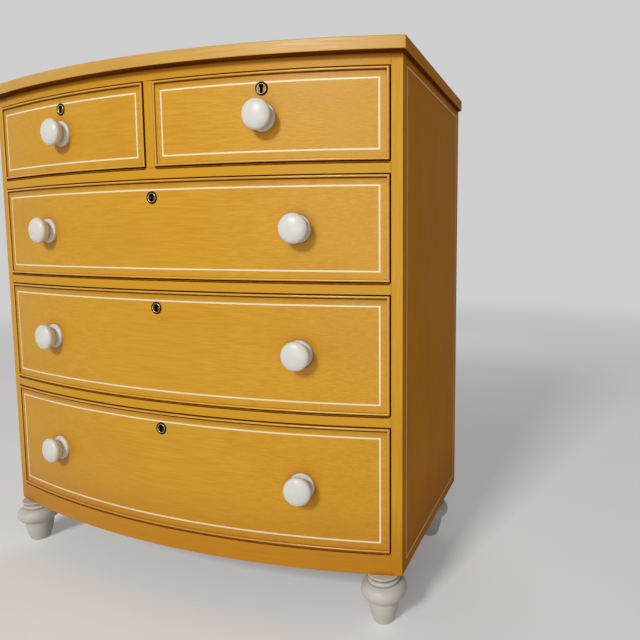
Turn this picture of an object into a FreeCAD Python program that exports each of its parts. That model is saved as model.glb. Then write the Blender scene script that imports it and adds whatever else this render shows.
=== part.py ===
"""Bow front chest of drawers: two short drawers over three long ones, on four turned feet.

X runs to the right, Y to the back and Z up, in millimetres, with the floor at Z = 0. While the
pieces are built, Y = 0 is the front corner of the carcass; they are centred on Y at the end.
"""
import FreeCAD, Part
import math
import os

# Carcass
CARCASS_WIDTH = 940.0
CARCASS_HEIGHT = 904.0
SIDE_DEPTH = 404.0
BOW_RISE = 58.0
SIDE_THICKNESS = 19.5
TOP_THICKNESS = 22.5
TOP_FRONT_OVERHANG = 16.0
TOP_SIDE_OVERHANG = 9.5
TOP_EDGE_RADIUS = 2.5
BACK_THICKNESS = 10.0
BACK_LAP = 10.0
BACK_BOARD_COUNT = 5
BACK_BOARD_GAP = 0.6

# Rails, divider and what carries the drawers
TOP_RAIL_HEIGHT = 19.0
RAIL_THICKNESS = 20.0
BOTTOM_RAIL_HEIGHT = 41.0
RAIL_BACK_DEPTH = 50.0
TENON_LENGTH = 8.0
TENON_SETBACK = 10.0
DIVIDER_WIDTH = 20.0
RUNNER_WIDTH = 28.0
CENTRE_RUNNER_WIDTH = 64.0
GUIDE_HEIGHT = 30.0
DUSTBOARD_THICKNESS = 7.0
DUSTBOARD_GROOVE = 6.0
STOP_WIDTH = 40.0
STOP_THICKNESS = 12.0
STOP_HEIGHT = 6.0
STOP_END_DISTANCE = 95.0
STOP_CLEARANCE = 1.0

# Drawers
SHORT_DRAWER_HEIGHT = 151.0
UPPER_DRAWER_HEIGHT = 181.0
MIDDLE_DRAWER_HEIGHT = 209.0
FRONT_GAP = 2.0
FRONT_THICKNESS = 22.0
BOX_BOARD_THICKNESS = 10.0
RUNNING_CLEARANCE = 0.3
SIDE_TOP_DROP = 7.0
BACK_TOP_DROP = 9.0
DRAWER_BACK_CLEARANCE = 8.0
PANEL_THICKNESS = 6.0
PANEL_HEIGHT = 9.0
PANEL_GROOVE = 5.0
PANEL_CLEARANCE = 0.5
TAIL_PITCH = 34.0
TAIL_SHARE = 0.55
TAIL_SLOPE = 1.0 / 6.0
TAIL_TIP_SHARE = 0.9
TAIL_LAP = 9.0
BEAD_WIDTH = 4.0
BEAD_PROUD = 3.0
BEAD_DEPTH = 7.0
BEAD_RADIUS = 1.6

# Knobs, escutcheons and locks
KNOB_DIAMETER = 52.0
KNOB_PROJECTION = 33.2
KNOB_DOME_HEIGHT = 10.3
KNOB_BACK_HEIGHT = 18.4
KNOB_FLANGE_DIAMETER = 49.5
KNOB_FLANGE_THICKNESS = 5.0
KNOB_FLANGE_BEVEL = 2.0
KNOB_NECK_DIAMETER = 32.0
KNOB_COVE_DIAMETER = 37.0
KNOB_SPIGOT_DIAMETER = 18.0
KNOB_SPIGOT_LENGTH = 19.0
LONG_KNOB_SPACING = 581.0
ESCUTCHEON_DIAMETER = 23.5
ESCUTCHEON_THICKNESS = 5.0
ESCUTCHEON_PROUD = 0.6
KEYHOLE_DIAMETER = 8.0
KEYHOLE_SLOT_WIDTH = 5.0
KEYHOLE_SLOT_LENGTH = 12.0
KEYHOLE_RISE = 4.0
SHORT_KEYHOLE_DROP = 28.0
LONG_KEYHOLE_DROP = 32.0
LOCK_WIDTH = 60.0
LOCK_HEIGHT = 46.0
LOCK_DEPTH = 11.0
LOCK_PROUD = 0.5
LOCK_KEYHOLE_DEPTH = 6.0
BOLT_WIDTH = 26.0
BOLT_THICKNESS = 5.0
BOLT_HEIGHT = 16.0
BOLT_TRAVEL = 7.0
BOLT_CLEARANCE = 0.2
MORTISE_CLEARANCE = 1.0

# Feet
FOOT_HEIGHT = 95.0
FOOT_SIDE_INSET = 38.0
FRONT_FOOT_DEPTH = 8.0
REAR_FOOT_DEPTH = 314.0
FOOT_COLLAR_DIAMETER = 63.0
FOOT_COLLAR_EDGE = 1.5
FOOT_COLLAR_HEIGHT = 7.0
FOOT_COLLAR_HOLLOW_DIAMETER = 56.6
FOOT_NECK_DIAMETER = 55.2
FOOT_RING_DIAMETER = 60.0
FOOT_RING_HEIGHT = 9.5
FOOT_BULB_ROOT_DIAMETER = 56.4
FOOT_BULB_DIAMETER = 84.0
FOOT_BULB_END_DIAMETER = 64.4
FOOT_BULB_HEIGHT = 30.2
FOOT_BLEND_DIAMETER = 59.4
FOOT_BLEND_DROP = 2.8
FOOT_BLEND_HEIGHT = 6.5
FOOT_ANKLE_TOP_DIAMETER = 56.6
FOOT_ANKLE_MIDDLE_DIAMETER = 51.4
FOOT_BASE_DIAMETER = 40.8
FOOT_BASE_RADIUS = 7.0
FOOT_SPIGOT_DIAMETER = 24.0
FOOT_SPIGOT_LENGTH = 18.0
FOOT_BLOCK_SIZE = 80.0

# Worked out from the above
HALF_WIDTH = CARCASS_WIDTH / 2
INNER_HALF_WIDTH = HALF_WIDTH - SIDE_THICKNESS
BOW_RADIUS = (HALF_WIDTH ** 2 + BOW_RISE ** 2) / (2 * BOW_RISE)
BOW_CENTRE_Y = BOW_RADIUS - BOW_RISE
BACK_FRONT_Y = SIDE_DEPTH - BACK_THICKNESS
CARCASS_TOP_Z = FOOT_HEIGHT + CARCASS_HEIGHT
TOP_RAIL_Z = CARCASS_TOP_Z - TOP_RAIL_HEIGHT
UPPER_RAIL_Z = TOP_RAIL_Z - SHORT_DRAWER_HEIGHT - 2 * FRONT_GAP - RAIL_THICKNESS
MIDDLE_RAIL_Z = UPPER_RAIL_Z - UPPER_DRAWER_HEIGHT - 2 * FRONT_GAP - RAIL_THICKNESS
LOWER_RAIL_Z = MIDDLE_RAIL_Z - MIDDLE_DRAWER_HEIGHT - 2 * FRONT_GAP - RAIL_THICKNESS
LOWER_OPENING_Z = FOOT_HEIGHT + BOTTOM_RAIL_HEIGHT
LOWER_DRAWER_HEIGHT = LOWER_RAIL_Z - LOWER_OPENING_Z - 2 * FRONT_GAP
RAIL_LEVELS = {"lower": LOWER_RAIL_Z, "middle": MIDDLE_RAIL_Z, "upper": UPPER_RAIL_Z}
SHORT_DRAWER_X = DIVIDER_WIDTH / 2 + FRONT_GAP
DRAWER_END_X = INNER_HALF_WIDTH - FRONT_GAP
SHORT_CENTRE_X = (SHORT_DRAWER_X + DRAWER_END_X) / 2
BOLT_INSET = FRONT_THICKNESS - LOCK_DEPTH / 2

SURFACE_TOLERANCE = 0.01
ORIGIN = FreeCAD.Vector(0, 0, 0)
BACKWARD = FreeCAD.Vector(0, 1, 0)
UP = FreeCAD.Vector(0, 0, 1)


def box(x_low, x_high, y_low, y_high, z_low, z_high):
    """A rectangular block between two corners."""
    size = (x_high - x_low, y_high - y_low, z_high - z_low)
    return Part.makeBox(*size, FreeCAD.Vector(x_low, y_low, z_low))


def bow_y(x, inset=0.0):
    """Y of the bowed front at X, moved in by inset (out where that is negative)."""
    return BOW_CENTRE_Y - math.sqrt((BOW_RADIUS - inset) ** 2 - x ** 2)


def bow_arc(x_from, x_to, inset, z):
    """Edge along the bow from one X to another."""
    stations = (x_from, (x_from + x_to) / 2, x_to)
    return Part.Arc(*[FreeCAD.Vector(x, bow_y(x, inset), z) for x in stations]).toShape()


def bow_board(x_low, x_high, z_low, z_high, front_inset=0.0, back_y=None, back_inset=None):
    """Board whose front follows the bow, and whose back is straight or follows the bow too."""
    front = bow_arc(x_low, x_high, front_inset, z_low)
    if back_inset is None:
        back = Part.makeLine(FreeCAD.Vector(x_high, back_y, z_low), FreeCAD.Vector(x_low, back_y, z_low))
    else:
        back = bow_arc(x_high, x_low, back_inset, z_low)
    right = Part.makeLine(front.Vertexes[-1].Point, back.Vertexes[0].Point)
    left = Part.makeLine(back.Vertexes[-1].Point, front.Vertexes[0].Point)
    outline = Part.Wire([front, right, back, left])
    return Part.Face(outline).extrude(UP * (z_high - z_low))


def around_bow(shape, x):
    """Copy of a shape built at the middle of the bow, carried round it to X."""
    angle = math.degrees(math.asin(x / BOW_RADIUS))
    moved = shape.copy()
    moved.rotate(FreeCAD.Vector(0, BOW_CENTRE_Y, 0), UP, angle)
    return moved


def mirrored(shape):
    """Copy on the other side of the chest's middle plane."""
    return shape.mirror(ORIGIN, FreeCAD.Vector(1, 0, 0))


def both_sides(shape):
    """A shape and its mirror image."""
    return [shape, mirrored(shape)]


def cut_all(shape, tools):
    """Shape less every tool."""
    return shape.cut(Part.makeCompound(tools)) if tools else shape


# ---- carcass -------------------------------------------------------------------------------------

def top_board():
    """Slab that overhangs the front and both sides, with softened front and end edges."""
    half = HALF_WIDTH + TOP_SIDE_OVERHANG
    top_z = CARCASS_TOP_Z + TOP_THICKNESS
    slab = bow_board(-half, half, CARCASS_TOP_Z, top_z, -TOP_FRONT_OVERHANG, SIDE_DEPTH)
    soft = [edge for edge in slab.Edges if edge.BoundBox.YMin < BACK_FRONT_Y]
    return slab.makeFillet(TOP_EDGE_RADIUS, soft)


def rail_tenon(z_low, z_high):
    """Stub tenon on a rail's right end."""
    return bow_board(INNER_HALF_WIDTH, INNER_HALF_WIDTH + TENON_LENGTH, z_low, z_high,
                     TENON_SETBACK, RAIL_BACK_DEPTH)


def rail(z_low, height):
    """Front rail that follows the bow, with a stub tenon at each end."""
    body = bow_board(-INNER_HALF_WIDTH, INNER_HALF_WIDTH, z_low, z_low + height, 0.0, RAIL_BACK_DEPTH)
    return body.fuse(both_sides(rail_tenon(z_low, z_low + height))).removeSplitter()


def bolt_mortise(x, drawer_top_z):
    """Space above a drawer front for its lock's bolt."""
    half_width = BOLT_WIDTH / 2 + MORTISE_CLEARANCE
    half_depth = BOLT_THICKNESS / 2 + MORTISE_CLEARANCE
    y = -BOW_RISE + BOLT_INSET
    space = box(-half_width, half_width, y - half_depth, y + half_depth,
                drawer_top_z, drawer_top_z + BOLT_TRAVEL + MORTISE_CLEARANCE)
    return around_bow(space, x)


def rails():
    """All five front rails by node name."""
    short_mortises = [bolt_mortise(x, TOP_RAIL_Z - FRONT_GAP) for x in (-SHORT_CENTRE_X, SHORT_CENTRE_X)]
    shapes = {"top_rail": cut_all(rail(TOP_RAIL_Z, TOP_RAIL_HEIGHT), short_mortises)}
    for name, z in RAIL_LEVELS.items():
        bars = cut_all(rail(z, RAIL_THICKNESS), [bolt_mortise(0, z - FRONT_GAP)])
        shapes[name + "_rail"] = cut_all(bars, dustboards())
    bottom = rail(FOOT_HEIGHT, BOTTOM_RAIL_HEIGHT)
    shapes["bottom_rail"] = cut_all(bottom, dustboards() + both_sides(foot_spigot(FRONT_FOOT_DEPTH)))
    return shapes


def side(front_rails):
    """Right side, with housings for the rail tenons and a rebate for the back."""
    panel = bow_board(INNER_HALF_WIDTH, HALF_WIDTH, FOOT_HEIGHT, CARCASS_TOP_Z, 0.0, SIDE_DEPTH)
    rebate = box(0, INNER_HALF_WIDTH + BACK_LAP, BACK_FRONT_Y, SIDE_DEPTH, FOOT_HEIGHT, CARCASS_TOP_Z)
    return cut_all(panel, [rebate] + front_rails)


def back_boards():
    """Upright boards let into the back edges of the sides."""
    width = 2 * (INNER_HALF_WIDTH + BACK_LAP)
    pitch = width / BACK_BOARD_COUNT
    boards = []
    for number in range(BACK_BOARD_COUNT):
        x = -width / 2 + number * pitch + BACK_BOARD_GAP / 2
        boards.append(box(x, x + pitch - BACK_BOARD_GAP, BACK_FRONT_Y, SIDE_DEPTH,
                          FOOT_HEIGHT, CARCASS_TOP_Z))
    return boards


def centre_divider():
    """Upright between the two short drawers, in line with the rails."""
    half = DIVIDER_WIDTH / 2
    return bow_board(-half, half, UPPER_RAIL_Z + RAIL_THICKNESS, TOP_RAIL_Z, 0.0, RAIL_BACK_DEPTH)


def centre_guide():
    """Strip behind the divider that keeps the short drawers apart."""
    half = DIVIDER_WIDTH / 2
    z = UPPER_RAIL_Z + RAIL_THICKNESS
    return box(-half, half, RAIL_BACK_DEPTH, BACK_FRONT_Y, z, z + GUIDE_HEIGHT)


def runner_top_levels():
    """Heights of the four surfaces that drawers run on."""
    return [LOWER_OPENING_Z] + [z + RAIL_THICKNESS for z in RAIL_LEVELS.values()]


def dustboard(x_low, x_high, top_z):
    """Thin board let into the rail in front and the runners on both sides."""
    middle_z = top_z - RAIL_THICKNESS / 2
    half = DUSTBOARD_THICKNESS / 2
    return box(x_low - DUSTBOARD_GROOVE, x_high + DUSTBOARD_GROOVE, RAIL_BACK_DEPTH - DUSTBOARD_GROOVE,
               BACK_FRONT_Y, middle_z - half, middle_z + half)


def dustboards():
    """One dustboard under each long opening, and two under the short drawers."""
    edge = INNER_HALF_WIDTH - RUNNER_WIDTH
    *whole_levels, split_level = runner_top_levels()
    boards = [dustboard(-edge, edge, z) for z in whole_levels]
    return boards + both_sides(dustboard(CENTRE_RUNNER_WIDTH / 2, edge, split_level))


def drawer_runners():
    """A runner on each side at every level, and a wide one between the short drawers."""
    runners = []
    for z in runner_top_levels():
        strip = box(INNER_HALF_WIDTH - RUNNER_WIDTH, INNER_HALF_WIDTH, RAIL_BACK_DEPTH, BACK_FRONT_Y,
                    z - RAIL_THICKNESS, z)
        runners += both_sides(strip)
    half = CENTRE_RUNNER_WIDTH / 2
    top = UPPER_RAIL_Z + RAIL_THICKNESS
    runners.append(box(-half, half, RAIL_BACK_DEPTH, BACK_FRONT_Y, UPPER_RAIL_Z, top))
    return [cut_all(runner, dustboards()) for runner in runners]


def top_kickers():
    """Strips under the top that keep the short drawers from tipping."""
    strip = box(INNER_HALF_WIDTH - RUNNER_WIDTH, INNER_HALF_WIDTH, RAIL_BACK_DEPTH, BACK_FRONT_Y,
                TOP_RAIL_Z, CARCASS_TOP_Z)
    half = CENTRE_RUNNER_WIDTH / 2
    middle = box(-half, half, RAIL_BACK_DEPTH, BACK_FRONT_Y, TOP_RAIL_Z, CARCASS_TOP_Z)
    return both_sides(strip) + [middle]


def drawer_stop(x, top_z):
    """Small block on a rail that a drawer front comes to rest against."""
    low, high = x - STOP_WIDTH / 2, x + STOP_WIDTH / 2
    y = bow_y(max(abs(low), abs(high)), FRONT_THICKNESS) + STOP_CLEARANCE
    return box(low, high, y, y + STOP_THICKNESS, top_z, top_z + STOP_HEIGHT)


def drawer_stops():
    """Two stops for every drawer."""
    outer_x = DRAWER_END_X - STOP_END_DISTANCE
    inner_x = SHORT_DRAWER_X + STOP_END_DISTANCE
    stops = []
    for z in runner_top_levels():
        stops += both_sides(drawer_stop(outer_x, z))
    return stops + both_sides(drawer_stop(inner_x, UPPER_RAIL_Z + RAIL_THICKNESS))


# ---- feet ----------------------------------------------------------------------------------------

def foot_spigot(depth):
    """Round tenon on top of the right foot at a depth behind the front corner."""
    centre = FreeCAD.Vector(HALF_WIDTH - FOOT_SIDE_INSET, depth, FOOT_HEIGHT)
    return Part.makeCylinder(FOOT_SPIGOT_DIAMETER / 2, FOOT_SPIGOT_LENGTH, centre)


def foot_outline():
    """Half section of a foot: hollow collar, ring, bulb blended into a tapered ankle, and rounded base."""
    collar, hollow, neck, ring, root, bulb, bulb_end, blend, ankle_top, ankle_middle, base = [
        diameter / 2 for diameter in (
            FOOT_COLLAR_DIAMETER, FOOT_COLLAR_HOLLOW_DIAMETER, FOOT_NECK_DIAMETER, FOOT_RING_DIAMETER,
            FOOT_BULB_ROOT_DIAMETER, FOOT_BULB_DIAMETER, FOOT_BULB_END_DIAMETER, FOOT_BLEND_DIAMETER,
            FOOT_ANKLE_TOP_DIAMETER, FOOT_ANKLE_MIDDLE_DIAMETER, FOOT_BASE_DIAMETER)]
    edge_z = FOOT_HEIGHT - FOOT_COLLAR_EDGE
    neck_z = FOOT_HEIGHT - FOOT_COLLAR_HEIGHT
    root_z = neck_z - FOOT_RING_HEIGHT
    end_z = root_z - FOOT_BULB_HEIGHT
    ankle_z = end_z - FOOT_BLEND_HEIGHT
    corner = FOOT_BASE_RADIUS * (1 - math.sqrt(0.5))

    def point(radius, z):
        return FreeCAD.Vector(radius, 0, z)

    def arc(*points):
        return Part.Arc(*[point(radius, z) for radius, z in points]).toShape()

    def line(*points):
        return Part.makeLine(*[point(radius, z) for radius, z in points])

    return [
        line((0, FOOT_HEIGHT), (collar, FOOT_HEIGHT)),
        line((collar, FOOT_HEIGHT), (collar, edge_z)),
        arc((collar, edge_z), (hollow, (edge_z + neck_z) / 2), (neck, neck_z)),
        arc((neck, neck_z), (ring, (neck_z + root_z) / 2), (root, root_z)),
        arc((root, root_z), (bulb, (root_z + end_z) / 2), (bulb_end, end_z)),
        arc((bulb_end, end_z), (blend, end_z - FOOT_BLEND_DROP), (ankle_top, ankle_z)),
        arc((ankle_top, ankle_z), (ankle_middle, (ankle_z + FOOT_BASE_RADIUS) / 2), (base, FOOT_BASE_RADIUS)),
        arc((base, FOOT_BASE_RADIUS), (base - corner, corner), (base - FOOT_BASE_RADIUS, 0)),
        line((base - FOOT_BASE_RADIUS, 0), (0, 0)),
        line((0, 0), (0, FOOT_HEIGHT)),
    ]


def foot(depth):
    """Right foot at a depth behind the front corner."""
    face = Part.Face(Part.Wire(foot_outline()))
    turned = face.revolve(ORIGIN, UP, 360)
    turned.translate(FreeCAD.Vector(HALF_WIDTH - FOOT_SIDE_INSET, depth, 0))
    return turned.fuse(foot_spigot(depth))


def foot_block():
    """Block under the lowest runner that the right rear foot's spigot enters."""
    block = box(INNER_HALF_WIDTH - FOOT_BLOCK_SIZE, INNER_HALF_WIDTH, REAR_FOOT_DEPTH - FOOT_BLOCK_SIZE / 2,
                REAR_FOOT_DEPTH + FOOT_BLOCK_SIZE / 2, FOOT_HEIGHT, LOWER_OPENING_Z - RAIL_THICKNESS)
    return block.cut(foot_spigot(REAR_FOOT_DEPTH))


# ---- drawers -------------------------------------------------------------------------------------

def tail_points(root_y, tip_y, z_low, z_high):
    """Corners of a row of dovetails that stand from root_y to tip_y, going up."""
    count = max(2, round((z_high - z_low) / TAIL_PITCH))
    pitch = (z_high - z_low) / count
    root_half = pitch * TAIL_SHARE / 2
    tip_half = min(root_half + abs(tip_y - root_y) * TAIL_SLOPE, pitch * TAIL_TIP_SHARE / 2)
    points = []
    for number in range(count):
        z = z_low + (number + 0.5) * pitch
        points += [(root_y, z - root_half), (tip_y, z - tip_half)]
        points += [(tip_y, z + tip_half), (root_y, z + root_half)]
    return points


def drawer_side(x_low, x_high, opening_z, height):
    """Side board with dovetails at the front and at the back."""
    outer_x, inner_x = max(abs(x_low), abs(x_high)), min(abs(x_low), abs(x_high))
    bottom_z = opening_z + RUNNING_CLEARANCE
    front_z = opening_z + FRONT_GAP
    top_z = front_z + height - SIDE_TOP_DROP
    panel_top_z = bottom_z + PANEL_HEIGHT + PANEL_THICKNESS
    back_y = BACK_FRONT_Y - DRAWER_BACK_CLEARANCE
    shoulder_y = bow_y(inner_x, FRONT_THICKNESS)
    front_tails = tail_points(shoulder_y, bow_y(outer_x) + TAIL_LAP, front_z + BEAD_WIDTH, top_z)
    back_root_y = back_y - BOX_BOARD_THICKNESS
    back_tails = tail_points(back_root_y, back_y, panel_top_z, front_z + height - BACK_TOP_DROP)
    outline = [(shoulder_y, bottom_z)] + front_tails + [(shoulder_y, top_z), (back_root_y, top_z)]
    outline += back_tails[::-1] + [(back_root_y, panel_top_z), (back_y, panel_top_z), (back_y, bottom_z)]
    corners = [FreeCAD.Vector(x_low, y, z) for y, z in outline + outline[:1]]
    return Part.Face(Part.makePolygon(corners)).extrude(FreeCAD.Vector(x_high - x_low, 0, 0))


def drawer_box(x_low, x_high, opening_z, height):
    """Two dovetailed sides and the back between them, and the panel under them."""
    bottom_z = opening_z + RUNNING_CLEARANCE
    panel_z = bottom_z + PANEL_HEIGHT
    back_y = BACK_FRONT_Y - DRAWER_BACK_CLEARANCE
    panel_inset = BOX_BOARD_THICKNESS - PANEL_GROOVE
    panel = bow_board(x_low + panel_inset, x_high - panel_inset, panel_z, panel_z + PANEL_THICKNESS,
                      FRONT_THICKNESS - PANEL_GROOVE, back_y)
    sides = [drawer_side(x_low, x_low + BOX_BOARD_THICKNESS, opening_z, height),
             drawer_side(x_high - BOX_BOARD_THICKNESS, x_high, opening_z, height)]
    back = box(x_low, x_high, back_y - BOX_BOARD_THICKNESS, back_y, panel_z + PANEL_THICKNESS,
               opening_z + FRONT_GAP + height - BACK_TOP_DROP)
    return [board.cut(panel) for board in sides], cut_all(back, sides), panel


def panel_groove(panel):
    """Groove in the back of a drawer front that the panel's front edge enters."""
    bounds = panel.BoundBox
    depth = FRONT_THICKNESS - PANEL_GROOVE - PANEL_CLEARANCE
    return bow_board(bounds.XMin, bounds.XMax, bounds.ZMin, bounds.ZMax, depth, BACK_FRONT_Y)


def lies_on_bead_face(edge):
    """Whether an edge follows the front surface of a bead."""
    middle = edge.valueAt((edge.FirstParameter + edge.LastParameter) / 2)
    points = [vertex.Point for vertex in edge.Vertexes] + [middle]
    return all(abs(point.y - bow_y(point.x, -BEAD_PROUD)) < SURFACE_TOLERANCE for point in points)


def bead_strip(x_low, x_high, z_low, z_high):
    """Strip let into the edge of a drawer front, with both long edges of its nose rounded."""
    strip = bow_board(x_low, x_high, z_low, z_high, -BEAD_PROUD, back_inset=BEAD_DEPTH)
    long_way = max(x_high - x_low, z_high - z_low)
    nose = [edge for edge in strip.Edges if lies_on_bead_face(edge) and edge.Length > long_way / 2]
    return strip.makeFillet(BEAD_RADIUS, nose)


def cockbead(x_low, x_high, z_low, z_high):
    """Four strips round the edge of a drawer front, standing a little before it."""
    inner_low, inner_high = z_low + BEAD_WIDTH, z_high - BEAD_WIDTH
    return [bead_strip(x_low, x_high, inner_high, z_high),
            bead_strip(x_low, x_high, z_low, inner_low),
            bead_strip(x_low, x_low + BEAD_WIDTH, inner_low, inner_high),
            bead_strip(x_high - BEAD_WIDTH, x_high, inner_low, inner_high)]


def front_blank(x_low, x_high, z_low, z_high):
    """Drawer front of even thickness, rebated round its face for the bead."""
    whole = bow_board(x_low, x_high, z_low, z_high, BEAD_DEPTH, back_inset=FRONT_THICKNESS)
    face = bow_board(x_low + BEAD_WIDTH, x_high - BEAD_WIDTH, z_low + BEAD_WIDTH, z_high - BEAD_WIDTH,
                     back_inset=BEAD_DEPTH)
    return whole.fuse(face).removeSplitter()


def knob_outline():
    """Half section of a knob in the XY plane: head, neck, flange and spigot along Y."""
    head, neck, cove, flange, spigot = [diameter / 2 for diameter in (
        KNOB_DIAMETER, KNOB_NECK_DIAMETER, KNOB_COVE_DIAMETER, KNOB_FLANGE_DIAMETER, KNOB_SPIGOT_DIAMETER)]
    widest_y = KNOB_DOME_HEIGHT - KNOB_PROJECTION
    flange_y, rim = -KNOB_FLANGE_THICKNESS, flange - KNOB_FLANGE_BEVEL

    def point(radius, y):
        return FreeCAD.Vector(radius, y, 0)

    dome_ellipse = Part.Ellipse(point(0, widest_y), head, KNOB_DOME_HEIGHT)
    back_ellipse = Part.Ellipse(point(0, widest_y), head, KNOB_BACK_HEIGHT)
    back = Part.ArcOfEllipse(back_ellipse, 0, math.acos(neck / head)).toShape()
    neck_point = back.Vertexes[-1].Point
    return [
        Part.ArcOfEllipse(dome_ellipse, -math.pi / 2, 0).toShape(),
        back,
        Part.Arc(neck_point, point(cove, (neck_point.y + flange_y) / 2), point(rim, flange_y)).toShape(),
        Part.makeLine(point(rim, flange_y), point(flange, flange_y + KNOB_FLANGE_BEVEL)),
        Part.makeLine(point(flange, flange_y + KNOB_FLANGE_BEVEL), point(flange, 0)),
        Part.makeLine(point(flange, 0), point(spigot, 0)),
        Part.makeLine(point(spigot, 0), point(spigot, KNOB_SPIGOT_LENGTH)),
        Part.makeLine(point(spigot, KNOB_SPIGOT_LENGTH), point(0, KNOB_SPIGOT_LENGTH)),
        Part.makeLine(point(0, KNOB_SPIGOT_LENGTH), point(0, -KNOB_PROJECTION)),
    ]


def knob(x, z):
    """Turned knob seated on the bowed face."""
    turned = Part.Face(Part.Wire(knob_outline())).revolve(ORIGIN, BACKWARD, 360)
    turned.translate(FreeCAD.Vector(0, -BOW_RISE, z))
    return around_bow(turned, x)


def face_cylinder(x, z, diameter, proud, depth):
    """Cylinder square to the bowed face, from before it to a depth behind it."""
    start = FreeCAD.Vector(0, -BOW_RISE - proud, z)
    return around_bow(Part.makeCylinder(diameter / 2, proud + depth, start, BACKWARD), x)


def keyhole(x, eye_z, depth):
    """Keyhole-shaped plug from before the escutcheon to a depth behind the face."""
    proud = 2 * ESCUTCHEON_PROUD
    half = KEYHOLE_SLOT_WIDTH / 2
    slot = box(-half, half, -BOW_RISE - proud, depth - BOW_RISE, eye_z - KEYHOLE_SLOT_LENGTH, eye_z)
    eye = face_cylinder(x, eye_z, KEYHOLE_DIAMETER, proud, depth)
    return eye.fuse(around_bow(slot, x)).removeSplitter()


def lock_blank(x, top_z):
    """Flat-backed block that the lock case fills, let into the back of the front at its top edge."""
    inner_y = -BOW_RISE + FRONT_THICKNESS
    half = LOCK_WIDTH / 2
    block = box(-half, half, inner_y - LOCK_DEPTH, inner_y + LOCK_PROUD, top_z - LOCK_HEIGHT, top_z)
    return around_bow(block, x)


def bolt_blank(x, top_z, clearance):
    """Lock bolt, or with a clearance the channel that it slides in."""
    half_width = BOLT_WIDTH / 2 + clearance
    half_depth = BOLT_THICKNESS / 2 + clearance
    y = -BOW_RISE + BOLT_INSET
    bottom_z = top_z - BOLT_HEIGHT - clearance
    return around_bow(box(-half_width, half_width, y - half_depth, y + half_depth, bottom_z, top_z), x)


def drawer(name, x_low, x_high, opening_z, height, lock_x, knob_xs, keyhole_drop):
    """Every node of one drawer: front, box, panel, bead, knobs, escutcheon, lock case and bolt."""
    z_low, z_high = opening_z + FRONT_GAP, opening_z + FRONT_GAP + height
    knob_z, plate_z = (z_low + z_high) / 2, z_high - keyhole_drop
    eye_z = plate_z + KEYHOLE_RISE
    sides, back, panel = drawer_box(x_low, x_high, opening_z, height)
    plate = face_cylinder(lock_x, plate_z, ESCUTCHEON_DIAMETER, ESCUTCHEON_PROUD, ESCUTCHEON_THICKNESS)
    case = lock_blank(lock_x, z_high)
    front_keyhole = keyhole(lock_x, eye_z, FRONT_THICKNESS)
    case_keyhole = keyhole(lock_x, eye_z, FRONT_THICKNESS - LOCK_DEPTH + LOCK_KEYHOLE_DEPTH)
    cuts = sides + [panel_groove(panel), plate, case, front_keyhole]
    cuts += [face_cylinder(x, knob_z, KNOB_SPIGOT_DIAMETER, 0.0, KNOB_SPIGOT_LENGTH) for x in knob_xs]
    prefix = name + "_drawer_"
    return {
        prefix + "front": [cut_all(front_blank(x_low, x_high, z_low, z_high), cuts)],
        prefix + "box": sides + [back],
        prefix + "bottom": [panel],
        prefix + "cockbead": cockbead(x_low, x_high, z_low, z_high),
        prefix + "knobs": [knob(x, knob_z) for x in knob_xs],
        prefix + "escutcheon": [plate.cut(front_keyhole)],
        prefix + "lock_case": [cut_all(case, [bolt_blank(lock_x, z_high, BOLT_CLEARANCE), case_keyhole])],
        prefix + "lock_bolt": [bolt_blank(lock_x, z_high, 0.0)],
    }


def drawers():
    """Nodes of all five drawers."""
    half_spacing = LONG_KNOB_SPACING / 2
    short_z = UPPER_RAIL_Z + RAIL_THICKNESS
    nodes = drawer("top_left", -DRAWER_END_X, -SHORT_DRAWER_X, short_z, SHORT_DRAWER_HEIGHT,
                   -SHORT_CENTRE_X, [-SHORT_CENTRE_X], SHORT_KEYHOLE_DROP)
    nodes.update(drawer("top_right", SHORT_DRAWER_X, DRAWER_END_X, short_z, SHORT_DRAWER_HEIGHT,
                        SHORT_CENTRE_X, [SHORT_CENTRE_X], SHORT_KEYHOLE_DROP))
    for name, opening_z, height in (("upper", MIDDLE_RAIL_Z + RAIL_THICKNESS, UPPER_DRAWER_HEIGHT),
                                    ("middle", LOWER_RAIL_Z + RAIL_THICKNESS, MIDDLE_DRAWER_HEIGHT),
                                    ("lower", LOWER_OPENING_Z, LOWER_DRAWER_HEIGHT)):
        nodes.update(drawer(name, -DRAWER_END_X, DRAWER_END_X, opening_z, height, 0.0,
                            [-half_spacing, half_spacing], LONG_KEYHOLE_DROP))
    return nodes


def carcass():
    """Nodes of everything that stays still."""
    front_rails = rails()
    right_side = side(list(front_rails.values()))
    nodes = {name: [shape] for name, shape in front_rails.items()}
    nodes.update({
        "top_board": [top_board()],
        "left_side": [mirrored(right_side)],
        "right_side": [right_side],
        "back_boards": back_boards(),
        "centre_divider": [centre_divider()],
        "centre_guide": [centre_guide()],
        "drawer_runners": drawer_runners(),
        "dustboards": dustboards(),
        "top_kickers": top_kickers(),
        "drawer_stops": drawer_stops(),
        "foot_blocks": both_sides(foot_block()),
    })
    for place, depth in (("front", FRONT_FOOT_DEPTH), ("rear", REAR_FOOT_DEPTH)):
        right_foot = foot(depth)
        nodes[place + "_left_foot"] = [mirrored(right_foot)]
        nodes[place + "_right_foot"] = [right_foot]
    return nodes


def build():
    """All nodes, moved so that the middle of the whole chest's depth is at Y = 0."""
    nodes = {**carcass(), **drawers()}
    solids = [solid for shapes in nodes.values() for solid in shapes]
    bounds = Part.makeCompound(solids).optimalBoundingBox(False)
    for solid in solids:
        solid.translate(FreeCAD.Vector(0, -(bounds.YMin + bounds.YMax) / 2, 0))
    return nodes


def main():
    """Write one STEP file for each node."""
    os.makedirs("parts", exist_ok=True)
    for name, shapes in build().items():
        shape = shapes[0] if len(shapes) == 1 else Part.makeCompound(shapes)
        shape.exportStep("parts/" + name + ".step")


if __name__ == "__main__":
    main()
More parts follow.
